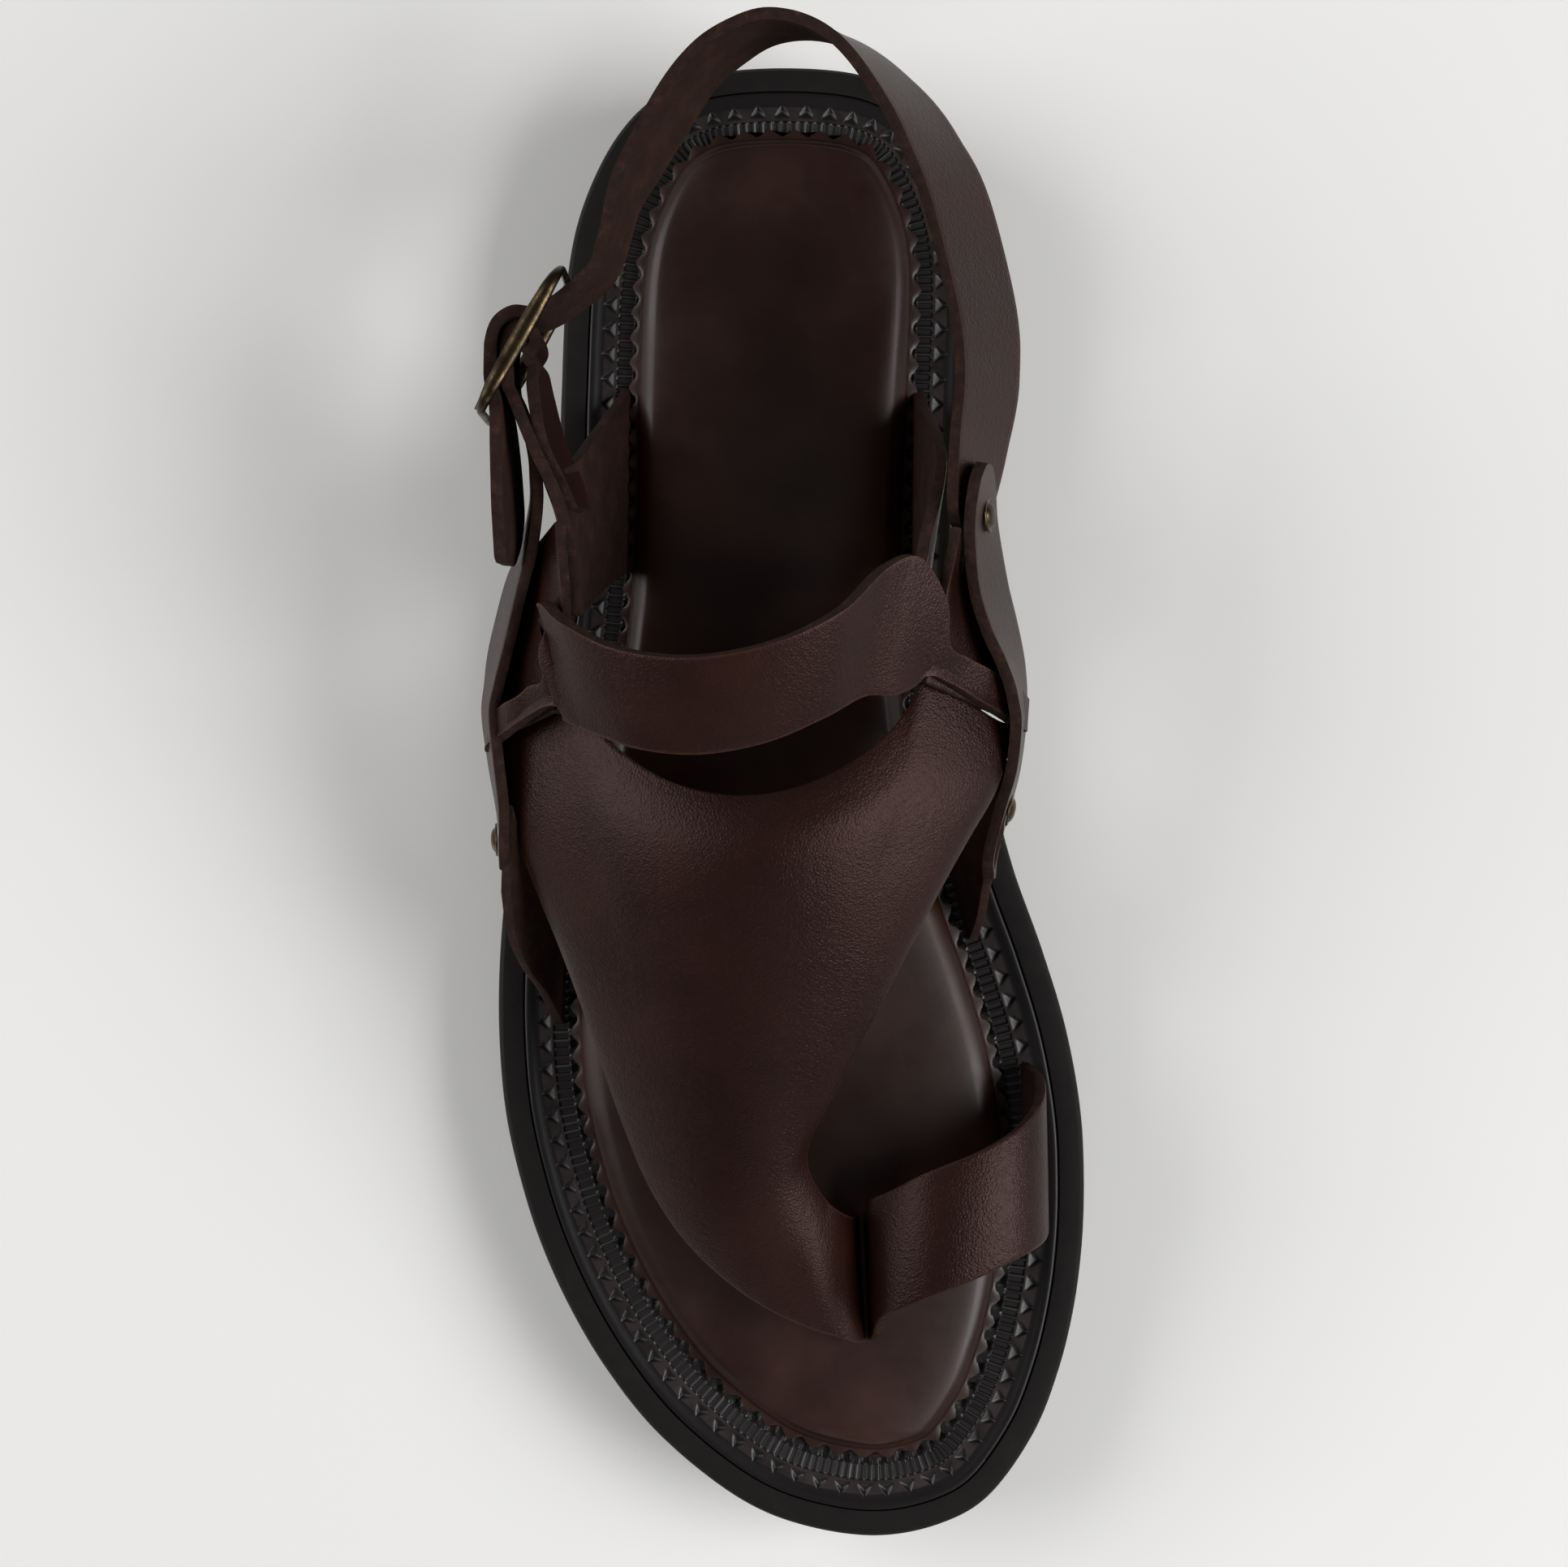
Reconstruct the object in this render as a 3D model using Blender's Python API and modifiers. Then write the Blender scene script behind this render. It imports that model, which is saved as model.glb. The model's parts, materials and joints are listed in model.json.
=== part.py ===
"""Wraparound sandal, right foot, standing on its sole.

Metres, +Z up. The toe points to -Y, the big toe's side is +X, and the ground is z = 0.
Lengths along the shoe are shares of half the sole's length, lengths across it are shares of half the
sole's width there, and heights of the straps are shares of the instep's height above the deck.
"""

import math

import bmesh
import bpy
import numpy as np
from mathutils import Matrix, Vector

# Sizes of the last and the sole
SOLE_LENGTH = 0.295
BALL_WIDTH = 0.119
HEEL_WIDTH = 0.085
INSTEP_HEIGHT = 0.062
BALL_DECK_HEIGHT = 0.0208
HEEL_DECK_HEIGHT = 0.0288
TOE_SPRING = 0.0050
ARCH_LIFT = 0.0055
TREAD_GROOVE_WIDTH = 0.0030
TREAD_GROOVE_DEPTH = 0.0015
TREAD_PITCH = 0.0125
RIM_WIDTH = 0.0050
BOARD_THICKNESS = 0.0040
BOARD_PROUD = 0.0010
TOE_MARGIN = 0.0172
HEEL_MARGIN = 0.0146
FOOTBED_EDGE = 0.0030
FOOTBED_CROWN = 0.0032
ARCH_SUPPORT = 0.0030

# Sizes of the leather, the buckle and the rivets
LEATHER = 0.0022
SIDE_STRAP_WIDTH = 0.0182
HEEL_STRAP_WIDTH = 0.0202
BUCKLE_LENGTH = 0.0325
BUCKLE_HEIGHT = 0.0280
BUCKLE_WIRE_RADIUS = 0.0012
BUCKLE_CORNER_RADIUS = 0.0050
PRONG_RADIUS = 0.0009
RIVET_RADIUS = 0.0030
RIVET_HEIGHT = 0.0013
RIVET_SEAT = 0.0007
SCOOP_DEPTH = 0.0212
CLEARANCE = 0.0003

# How finely the curves are cut
OUTLINE_STEPS = 44
SLOT_HEADROOM = 0.0030

# Sole outline: along, lateral edge, medial edge
OUTLINE = [
    (-1.000, 0.289, 0.289),
    (-0.985, 0.030, 0.500),
    (-0.952, -0.169, 0.656),
    (-0.865, -0.448, 0.822),
    (-0.777, -0.628, 0.912),
    (-0.689, -0.759, 0.966),
    (-0.600, -0.858, 0.994),
    (-0.511, -0.927, 1.000),
    (-0.422, -0.974, 0.988),
    (-0.310, -0.996, 0.938),
    (-0.199, -0.991, 0.855),
    (-0.089, -0.964, 0.758),
    (0.033, -0.913, 0.686),
    (0.155, -0.941, 0.710),
    (0.276, -1.036, 0.811),
    (0.408, -1.096, 0.893),
    (0.553, -1.084, 0.914),
    (0.729, -1.049, 0.925),
    (0.817, -0.977, 0.872),
    (0.905, -0.827, 0.739),
    (0.955, -0.666, 0.594),
    (0.988, -0.438, 0.364),
    (1.000, -0.018, -0.018),
]

# Side of the outsole from the tread to the rim: set in from the outline in metres, share of the height
SIDE_STEPS = [
    (0.0046, 0.00),
    (0.0024, 0.07),
    (0.0014, 0.16),
    (0.0012, 0.44),
    (0.0024, 0.48),
    (0.0024, 0.55),
    (0.0004, 0.60),
    (0.0000, 0.66),
    (0.0000, 0.93),
    (0.0009, 1.00),
]

# Edge strips of the straps, a row for each fold or section, from the foot of the strap to its other end:
# across, along and rise of one edge, then across, along and rise of the other
VAMP = [
    (0.217, -0.729, 0.00, 0.202, -0.560, 0.00),
    (0.217, -0.727, 0.14, 0.198, -0.560, 0.12),
    (0.200, -0.721, 0.23, 0.188, -0.554, 0.24),
    (0.148, -0.708, 0.27, 0.148, -0.542, 0.33),
    (0.067, -0.693, 0.31, 0.094, -0.520, 0.38),
    (-0.052, -0.670, 0.32, 0.054, -0.492, 0.42),
    (-0.187, -0.635, 0.32, 0.037, -0.462, 0.45),
    (-0.321, -0.585, 0.32, 0.052, -0.432, 0.48),
    (-0.440, -0.517, 0.32, 0.104, -0.391, 0.50),
    (-0.539, -0.425, 0.33, 0.202, -0.315, 0.54),
    (-0.625, -0.321, 0.37, 0.319, -0.222, 0.58),
    (-0.713, -0.218, 0.41, 0.440, -0.126, 0.60),
    (-0.805, -0.122, 0.44, 0.548, -0.047, 0.59),
    (-0.879, -0.041, 0.45, 0.636, 0.012, 0.56),
    (-0.935, 0.038, 0.43, 0.695, 0.062, 0.52),
    (-0.965, 0.087, 0.42, 0.745, 0.103, 0.48),
]
# Rise of the vamp's crown over its chord, as shares of the instep's height, and how far each row follows the scoop
VAMP_CROWN = [
    (0.00, 0.0), (0.00, 0.0), (0.01, 0.0), (0.02, 0.0), (0.04, 0.0), (0.05, 0.0), (0.07, 0.0), (0.09, 0.0),
    (0.12, 0.0), (0.16, 0.0), (0.20, 0.0), (0.25, 0.05), (0.30, 0.20), (0.33, 0.45), (0.34, 0.75), (0.34, 1.0),
]
INSTEP_BAND = [
    (-0.962, 0.065, 0.39, -0.975, 0.102, 0.40),
    (-0.955, 0.072, 0.47, -0.968, 0.108, 0.49),
    (-0.905, 0.089, 0.56, -0.938, 0.135, 0.60),
    (-0.837, 0.112, 0.64, -0.883, 0.154, 0.66),
    (-0.779, 0.127, 0.70, -0.837, 0.165, 0.72),
    (-0.735, 0.115, 0.73, -0.900, 0.207, 0.74),
    (-0.692, 0.104, 0.77, -0.967, 0.256, 0.74),
    (-0.606, 0.092, 0.83, -0.837, 0.230, 0.86),
    (-0.478, 0.075, 0.90, -0.623, 0.197, 0.96),
    (-0.294, 0.068, 0.95, -0.354, 0.184, 1.04),
    (-0.092, 0.082, 0.97, -0.073, 0.201, 1.06),
    (0.091, 0.113, 0.93, 0.165, 0.240, 1.02),
    (0.232, 0.140, 0.86, 0.356, 0.294, 0.92),
    (0.330, 0.142, 0.81, 0.500, 0.311, 0.85),
    (0.408, 0.158, 0.75, 0.581, 0.262, 0.77),
    (0.466, 0.165, 0.71, 0.554, 0.209, 0.72),
    (0.524, 0.152, 0.66, 0.609, 0.193, 0.66),
    (0.600, 0.132, 0.60, 0.696, 0.175, 0.59),
    (0.698, 0.106, 0.51, 0.753, 0.154, 0.50),
    (0.744, 0.092, 0.40, 0.784, 0.138, 0.39),
]
TOE_LOOP = [
    (0.287, -0.729, 0.00, 0.272, -0.560, 0.00),
    (0.287, -0.725, 0.14, 0.272, -0.560, 0.12),
    (0.289, -0.713, 0.20, 0.266, -0.541, 0.21),
    (0.303, -0.691, 0.27, 0.279, -0.526, 0.29),
    (0.336, -0.675, 0.34, 0.336, -0.512, 0.35),
    (0.454, -0.649, 0.41, 0.440, -0.486, 0.41),
    (0.607, -0.623, 0.41, 0.607, -0.458, 0.41),
    (0.748, -0.598, 0.36, 0.733, -0.431, 0.36),
    (0.827, -0.583, 0.27, 0.815, -0.399, 0.27),
    (0.840, -0.567, 0.16, 0.832, -0.372, 0.16),
    (0.815, -0.553, 0.00, 0.800, -0.357, 0.00),
]
LATERAL_FRONT_STRAP = [
    (-0.790, -0.303, 0.00, -0.775, -0.128, 0.00),
    (-0.832, -0.258, 0.12, -0.805, -0.098, 0.16),
    (-0.884, -0.221, 0.23, -0.854, -0.064, 0.33),
    (-0.918, -0.172, 0.36, -0.896, -0.031, 0.45),
    (-0.928, -0.116, 0.45, -0.914, 0.001, 0.51),
]
MEDIAL_FRONT_STRAP = [
    (0.622, -0.186, 0.00, 0.513, -0.034, 0.00),
    (0.640, -0.154, 0.12, 0.545, -0.011, 0.13),
    (0.649, -0.114, 0.23, 0.592, 0.017, 0.27),
    (0.661, -0.075, 0.34, 0.643, 0.038, 0.40),
    (0.676, -0.042, 0.42, 0.700, 0.058, 0.49),
]
LATERAL_QUARTER = [
    (-0.774, 0.561, 0.00, -0.755, 0.314, 0.00),
    (-0.858, 0.515, 0.15, -0.800, 0.291, 0.20),
    (-0.930, 0.473, 0.35, -0.832, 0.264, 0.40),
    (-1.000, 0.439, 0.55, -0.852, 0.246, 0.60),
    (-1.062, 0.420, 0.76, -0.862, 0.236, 0.75),
]
MEDIAL_QUARTER = [
    (0.598, 0.559, 0.00, 0.573, 0.319, 0.00),
    (0.621, 0.524, 0.18, 0.549, 0.292, 0.23),
    (0.654, 0.487, 0.38, 0.540, 0.281, 0.42),
    (0.680, 0.443, 0.54, 0.547, 0.278, 0.60),
    (0.660, 0.392, 0.68, 0.540, 0.271, 0.75),
    (0.605, 0.339, 0.78, 0.505, 0.258, 0.83),
]
LATERAL_WING = [
    (-0.968, 0.088, 0.45, -0.757, 0.124, 0.68),
    (-1.014, 0.139, 0.45, -0.793, 0.156, 0.71),
    (-1.052, 0.181, 0.46, -0.820, 0.186, 0.73),
    (-1.085, 0.233, 0.48, -0.855, 0.237, 0.76),
    (-1.100, 0.300, 0.53, -0.925, 0.295, 0.79),
    (-1.110, 0.365, 0.58, -0.995, 0.358, 0.81),
]
MEDIAL_WING = [
    (0.769, 0.103, 0.51, 0.455, 0.155, 0.71),
    (0.797, 0.149, 0.50, 0.497, 0.185, 0.71),
    (0.812, 0.202, 0.51, 0.538, 0.212, 0.74),
    (0.816, 0.247, 0.52, 0.576, 0.250, 0.76),
    (0.820, 0.290, 0.50, 0.622, 0.288, 0.77),
    (0.834, 0.316, 0.48, 0.666, 0.314, 0.78),
    (0.842, 0.333, 0.48, 0.686, 0.333, 0.78),
]

# Middle lines of the upright straps: across, along, rise, inward lean, share of the strap's width
LATERAL_SIDE_STRAP = [
    (-0.937, -0.087, 0.33, 0.05, 0.90),
    (-0.940, -0.047, 0.37, 0.08, 1.00),
    (-0.943, -0.005, 0.40, 0.12, 1.00),
    (-0.975, 0.055, 0.43, 0.15, 1.00),
    (-1.035, 0.115, 0.44, 0.17, 1.00),
    (-1.063, 0.156, 0.46, 0.20, 1.00),
    (-1.101, 0.214, 0.49, 0.25, 1.00),
    (-1.135, 0.272, 0.54, 0.24, 1.00),
    (-1.143, 0.323, 0.58, 0.18, 1.00),
    (-1.148, 0.379, 0.63, 0.12, 1.00),
    (-1.155, 0.425, 0.66, 0.08, 0.90),
    (-1.160, 0.445, 0.67, 0.06, 0.60),
]
BUCKLE_HOLDER = [
    (-0.905, 0.283, 0.64, 0.10, 0.56),
    (-0.962, 0.335, 0.66, 0.08, 0.84),
    (-1.020, 0.380, 0.68, 0.06, 0.95),
    (-1.068, 0.413, 0.68, 0.04, 1.00),
    (-1.134, 0.459, 0.68, 0.00, 1.00),
    (-1.195, 0.503, 0.68, 0.00, 1.00),
    (-1.228, 0.535, 0.68, 0.00, 0.98),
]
BUCKLE_LOOP_RETURN = [
    (-1.108, 0.548, 0.68, -0.03, 0.96),
    (-1.098, 0.518, 0.68, -0.07, 0.96),
    (-1.056, 0.460, 0.68, -0.10, 0.94),
    (-0.982, 0.411, 0.68, -0.12, 0.82),
    (-0.930, 0.372, 0.69, -0.12, 0.50),
]
MEDIAL_SIDE_STRAP = [
    (0.864, 0.425, 0.71, 0.26, 0.50),
    (0.856, 0.395, 0.69, 0.32, 0.88),
    (0.850, 0.360, 0.67, 0.37, 0.90),
    (0.828, 0.328, 0.65, 0.40, 0.92),
    (0.806, 0.279, 0.62, 0.40, 0.95),
    (0.802, 0.233, 0.58, 0.36, 1.00),
    (0.804, 0.186, 0.54, 0.27, 1.00),
    (0.790, 0.137, 0.49, 0.17, 1.00),
    (0.762, 0.091, 0.46, 0.12, 1.00),
    (0.728, 0.043, 0.42, 0.11, 1.00),
    (0.693, -0.006, 0.35, 0.12, 1.00),
    (0.666, -0.056, 0.28, 0.12, 0.95),
    (0.660, -0.100, 0.22, 0.10, 0.70),
]
HEEL_STRAP = [
    (0.758, 0.343, 0.62, 0.36, 1.00),
    (0.791, 0.391, 0.64, 0.40, 1.00),
    (0.826, 0.462, 0.66, 0.50, 1.00),
    (0.859, 0.547, 0.69, 0.56, 1.00),
    (0.826, 0.640, 0.71, 0.60, 1.00),
    (0.739, 0.735, 0.75, 0.60, 1.00),
    (0.605, 0.824, 0.78, 0.54, 1.00),
    (0.416, 0.900, 0.81, 0.40, 1.00),
    (0.200, 0.952, 0.83, 0.22, 1.00),
    (-0.028, 0.967, 0.84, 0.04, 1.00),
    (-0.209, 0.952, 0.84, -0.10, 1.00),
    (-0.386, 0.915, 0.83, -0.18, 1.00),
    (-0.508, 0.868, 0.81, -0.22, 1.00),
    (-0.626, 0.812, 0.79, -0.20, 1.00),
    (-0.725, 0.757, 0.78, -0.14, 1.00),
    (-0.785, 0.698, 0.73, -0.10, 1.00),
    (-0.895, 0.652, 0.685, -0.03, 1.00),
]
HEEL_STRAP_END = [
    (-1.300, 0.545, 0.69, 0.00, 1.00),
    (-1.268, 0.500, 0.69, 0.00, 1.00),
    (-1.258, 0.445, 0.70, 0.04, 1.00),
    (-1.250, 0.386, 0.71, 0.08, 0.98),
    (-1.228, 0.345, 0.72, 0.10, 0.86),
    (-1.200, 0.312, 0.73, 0.10, 0.56),
    (-1.190, 0.303, 0.73, 0.10, 0.36),
]

# Bar of the buckle: across, along, rise; and the way from the bar to the front of the frame
BUCKLE_BAR_AT = (-1.167, 0.578, 0.68)
BUCKLE_FORWARD = (-0.493, -0.870)

# Scoop of the vamp between the ears: where it starts and ends as shares of the edge, and its horns
SCOOP_START = 0.155
SCOOP_END = 0.815
LATERAL_HORN = 0.004
MEDIAL_HORN = 0.009


def smooth(t):
    t = min(1.0, max(0.0, t))
    return t * t * (3 - 2 * t)


def half_width(along):
    """Half the sole's width that the shares across are taken of: the ball's in front, the heel's behind."""
    behind = smooth(along / 0.4)
    return 0.5 * (BALL_WIDTH * (1 - behind) + HEEL_WIDTH * behind)


def toe_lift(along):
    return TOE_SPRING * max(0.0, (-0.508 - along) / 0.492) ** 2


def deck(along):
    """Height of the board's top, which the straps go down into."""
    climb = smooth((along + 0.068) / 0.61)
    return BALL_DECK_HEIGHT + (HEEL_DECK_HEIGHT - BALL_DECK_HEIGHT) * climb + toe_lift(along)


def ground(along):
    """Height of the tread: flat at the heel and the forefoot, lifted under the arch, the toe and the heel's back."""
    arch = smooth((along - 0.08) / 0.14) * smooth((0.50 - along) / 0.03)
    back = smooth((along - 0.93) / 0.08)
    return ARCH_LIFT * arch + 1.3 * toe_lift(along) + 0.25 * ARCH_LIFT * back


def place(across, along, rise):
    return Vector((across * half_width(along), along * SOLE_LENGTH / 2, deck(along) + rise * INSTEP_HEIGHT))


def through(rows, steps, closed=False):
    """Rows of numbers carried through one smooth curve, with steps rows for each gap."""
    rows = [np.array(row, float) for row in rows]
    count = len(rows)
    if closed:
        rows = [rows[-1]] + rows + rows[:2]
    else:
        rows = [2 * rows[0] - rows[1]] + rows + [2 * rows[-1] - rows[-2]]
    gaps = count if closed else count - 1
    made = []
    for i in range(1, gaps + 1):
        a, b, c, d = rows[i - 1], rows[i], rows[i + 1], rows[i + 2]
        before, here, after = (max(np.linalg.norm(q - p), 1e-6) ** 0.5 for p, q in ((a, b), (b, c), (c, d)))
        leave = (b - a) / before - (c - a) / (before + here) + (c - b) / here
        reach = (c - b) / here - (d - b) / (here + after) + (d - c) / after
        for k in range(steps):
            t = k / steps
            made.append(
                (2 * t**3 - 3 * t**2 + 1) * b
                + (t**3 - 2 * t**2 + t) * here * leave
                + (3 * t**2 - 2 * t**3) * c
                + (t**3 - t**2) * here * reach
            )
    if not closed:
        made.append(rows[-2])
    return made


def evenly(points, count):
    """The same line cut into count equal lengths."""
    points = np.array(points)
    reach = np.concatenate([[0.0], np.cumsum(np.linalg.norm(np.diff(points, axis=0), axis=1))])
    wanted = np.linspace(0.0, reach[-1], count + 1)
    return np.stack([np.interp(wanted, reach, points[:, k]) for k in range(points.shape[1])], axis=1)


def sole_outline():
    """The sole's edge from the toe along the lateral side to the heel, and back along the medial side."""
    corners = [place(row[1], row[0], 0).to_2d() for row in OUTLINE]
    corners += [place(row[2], row[0], 0).to_2d() for row in OUTLINE[-2:0:-1]]
    fine = through(corners, 12, closed=True)
    heel = 12 * (len(OUTLINE) - 1)
    lateral = evenly(fine[: heel + 1], OUTLINE_STEPS)
    medial = evenly(fine[heel:] + fine[:1], OUTLINE_STEPS)
    return np.concatenate([lateral[:-1], medial[:-1]])


def inward_normals(outline):
    ahead = np.roll(outline, -1, axis=0) - np.roll(outline, 1, axis=0)
    ahead /= np.linalg.norm(ahead, axis=1)[:, None]
    return np.stack([-ahead[:, 1], ahead[:, 0]], axis=1) * turn_of(outline)


def turn_of(outline):
    """+1 where the outline runs anticlockwise seen from above, else -1."""
    after = np.roll(outline, -1, axis=0)
    return math.copysign(1.0, float(np.sum(outline[:, 0] * after[:, 1] - after[:, 0] * outline[:, 1])))


def inset(outline, depth):
    """The outline moved in by a depth, which may change from point to point."""
    return outline + inward_normals(outline) * np.reshape(depth, (-1, 1))


def along_of(y):
    return y / (SOLE_LENGTH / 2)


def leather_material(name, colour, roughness, metallic=0.0):
    material = bpy.data.materials.new(name)
    material.use_nodes = True
    shader = material.node_tree.nodes["Principled BSDF"]
    shader.inputs["Base Color"].default_value = (*colour, 1.0)
    shader.inputs["Roughness"].default_value = roughness
    shader.inputs["Metallic"].default_value = metallic
    material.diffuse_color = (*colour, 1.0)
    return material


def new_object(name, mesh, collection, material=None):
    piece = bpy.data.objects.new(name, mesh)
    collection.objects.link(piece)
    if material:
        mesh.materials.append(material)
    return piece


def new_cutter(name, mesh, collection):
    cutter = new_object(name, mesh, collection)
    cutter.hide_render = True
    cutter.display_type = "WIRE"
    return cutter


def mesh_of(name, points, faces):
    mesh = bpy.data.meshes.new(name)
    mesh.from_pydata([tuple(point) for point in points], [], faces)
    mesh.validate()
    mesh.update()
    return mesh


def stack_mesh(name, rings):
    """A closed solid from rings of equal count; the first and last are closed by rungs from side to side."""
    count = len(rings[0])
    points = [point for ring in rings for point in ring]
    faces = []
    for level in range(len(rings) - 1):
        for k in range(count):
            near, far = level * count + k, level * count + (k + 1) % count
            faces.append((near, far, far + count, near + count))
    top = (len(rings) - 1) * count
    for k in range(count // 2):
        left, right = k, (k + 1) % count
        mirror_left, mirror_right = (count - k) % count, count - k - 1
        rung = list(dict.fromkeys([left, right, mirror_right, mirror_left]))
        faces.append(tuple(reversed(rung)))
        faces.append(tuple(top + index for index in rung))
    mesh = mesh_of(name, points, faces)
    outward(mesh)
    return mesh


def outward(mesh):
    work = bmesh.new()
    work.from_mesh(mesh)
    bmesh.ops.recalc_face_normals(work, faces=work.faces)
    work.to_mesh(mesh)
    work.free()


def ring_at(outline, depth, height):
    """A ring of the outline set in by depth, at the height that a function gives for each share along."""
    return [(x, y, height(along_of(y))) for x, y in inset(outline, depth)]


def rim_height(along):
    return deck(along) - BOARD_PROUD


def seat_height(along):
    return deck(along) - BOARD_THICKNESS


def outsole_mesh(outline):
    rings = []
    for depth, share in SIDE_STEPS:
        rings.append(ring_at(outline, depth, lambda s: ground(s) + share * (rim_height(s) - ground(s))))
    rings.append(ring_at(outline, RIM_WIDTH, rim_height))
    rings.append(ring_at(outline, RIM_WIDTH, seat_height))
    return stack_mesh("outsole", rings)


def welt_board_mesh(outline):
    """The stiff board in the outsole's seat, with a rounded margin that stands proud of the rim."""
    edge = RIM_WIDTH + CLEARANCE
    rings = [
        ring_at(outline, edge, lambda s: seat_height(s) + CLEARANCE),
        ring_at(outline, edge, lambda s: deck(s) - 1.2 * BOARD_PROUD),
        ring_at(outline, edge + 0.3 * BOARD_PROUD, lambda s: deck(s) - 0.4 * BOARD_PROUD),
        ring_at(outline, edge + 1.2 * BOARD_PROUD, deck),
        ring_at(outline, edge + 4.0 * BOARD_PROUD, deck),
    ]
    return stack_mesh("welt_board", rings)


def footbed_margin(outline):
    """How far the footbed stays inside the sole's edge: less at the heel than at the toe."""
    share = (along_of(outline[:, 1]) + 1) / 2
    return TOE_MARGIN + (HEEL_MARGIN - TOE_MARGIN) * share


def footbed_top(along, side):
    """Height of the footbed over the board: crowned, dished at the heel, higher under the inner arch."""
    bulge = (max(0.0, 1 - side * side)) ** 0.45
    ends = (max(0.0, 1 - along * along)) ** 0.35
    arch = ARCH_SUPPORT * math.exp(-(((along - 0.25) / 0.22) ** 2)) * smooth(side) * bulge
    dish = 0.35 * FOOTBED_CROWN * math.exp(-(((along - 0.68) / 0.16) ** 2)) * (1 - side * side)
    return FOOTBED_EDGE + FOOTBED_CROWN * bulge * ends + arch - dish


def footbed_mesh(outline):
    """A pad that follows the board below and is crowned on top, made of rows from side to side."""
    edge = inset(outline, footbed_margin(outline))
    count = len(edge)
    columns = [-1.0, -0.93, -0.80, -0.55, -0.20, 0.20, 0.55, 0.80, 0.93, 1.0]
    rings = [
        [(x, y, deck(along_of(y)) + CLEARANCE) for x, y in edge],
        [(x, y, deck(along_of(y)) + CLEARANCE + FOOTBED_EDGE) for x, y in edge],
    ]
    points = [point for ring in rings for point in ring]
    faces = []
    for k in range(count):
        far = (k + 1) % count
        faces.append((k, far, far + count, k + count))
    for k in range(count // 2):
        rung = list(dict.fromkeys([k, k + 1, count - k - 1, (count - k) % count]))
        faces.append(tuple(reversed(rung)))
    rows = []
    for k in range(1, count // 2):
        near, far = edge[k], edge[count - k]
        row = [count + k]
        for side in columns[1:-1]:
            x, y = near + (far - near) * (side + 1) / 2
            top = deck(along_of(y)) + CLEARANCE + footbed_top(2 * k / (count / 2) - 1, side)
            points.append((x, y, top))
            row.append(len(points) - 1)
        row.append(2 * count - k)
        rows.append(row)
    for here, there in zip(rows, rows[1:]):
        for left in range(len(columns) - 1):
            faces.append((here[left], there[left], there[left + 1], here[left + 1]))
    for tip, row in ((count, rows[0]), (count + count // 2, rows[-1])):
        for left in range(len(columns) - 1):
            faces.append((tip, row[left], row[left + 1]))
    mesh = mesh_of("footbed", points, faces)
    outward(mesh)
    return mesh


def scoop(share):
    """How far the vamp's top edge lies behind its chord: horns at the ears, a deep round scoop between them."""
    if share < SCOOP_START:
        return LATERAL_HORN * smooth(share / SCOOP_START)
    if share > SCOOP_END:
        return MEDIAL_HORN * smooth((1 - share) / (1 - SCOOP_END))
    inner = (share - SCOOP_START) / (SCOOP_END - SCOOP_START)
    return LATERAL_HORN + (MEDIAL_HORN - LATERAL_HORN) * inner - SCOOP_DEPTH * math.sin(math.pi * inner) ** 0.6


def edge_grid(table, columns, steps, crown=None, bow=0.0, feet=(True, False)):
    """Points of a strap between its two edges; a foot goes straight down to the seat of the board."""
    edges = [[*place(*row[:3]), *place(*row[3:])] for row in table]
    if crown:
        edges = [edge + list(rise) for edge, rise in zip(edges, crown)]
    grid = []
    for row in through(edges, steps):
        start, end = Vector(row[:3]), Vector(row[3:6])
        rise, follow = (row[6] * INSTEP_HEIGHT, row[7]) if crown else (bow * (end - start).length, 0.0)
        points = []
        for column in range(columns + 1):
            share = column / columns
            point = start.lerp(end, share)
            point.z += rise * math.sin(math.pi * share) ** 0.8
            point.y += follow * scoop(share)
            points.append(point)
        grid.append(points)
    if feet[0]:
        grid.insert(0, [foot_of(point) for point in grid[0]])
    if feet[1]:
        grid.append([foot_of(point) for point in grid[-1]])
    return grid


def foot_of(point):
    return Vector((point.x, point.y, seat_height(along_of(point.y)) + CLEARANCE))


def upright_grid(rows, width, inner_side, steps, columns=3):
    """Points of an upright strap along its middle line; inner_side is +1 where inside is left of the way, else -1."""
    rows = through(rows, steps)
    grid = []
    for k, row in enumerate(rows):
        before, after = rows[max(k - 1, 0)], rows[min(k + 1, len(rows) - 1)]
        way = Vector((after[0] - before[0], after[1] - before[1], 0)).normalized()
        inside = Vector((-way.y, way.x, 0)) * inner_side
        lean = row[3]
        up = inside * lean + Vector((0, 0, math.sqrt(1 - lean * lean)))
        centre = Vector(row[:3])
        half = 0.5 * width * row[4]
        grid.append([centre + up * half * (2 * column / columns - 1) for column in range(columns + 1)])
    return grid


def placed(rows):
    return [[*place(*row[:3]), *row[3:]] for row in rows]


def bar_place():
    return place(*BUCKLE_BAR_AT)


def arc_round_bar(radius, start, end, step, width_share):
    """Rows of an upright strap bent round the buckle's bar; 0 degrees is outside it and 90 degrees behind it."""
    centre = bar_place()
    forward = Vector((*BUCKLE_FORWARD, 0)).normalized()
    out = Vector((forward.y, -forward.x, 0))
    rows = []
    turns = int(round(abs(end - start) / step))
    for k in range(turns + 1):
        angle = math.radians(start + (end - start) * k / turns)
        point = centre + radius * (math.cos(angle) * out - math.sin(angle) * forward)
        rows.append([*point, 0.0, width_share])
    return rows


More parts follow.
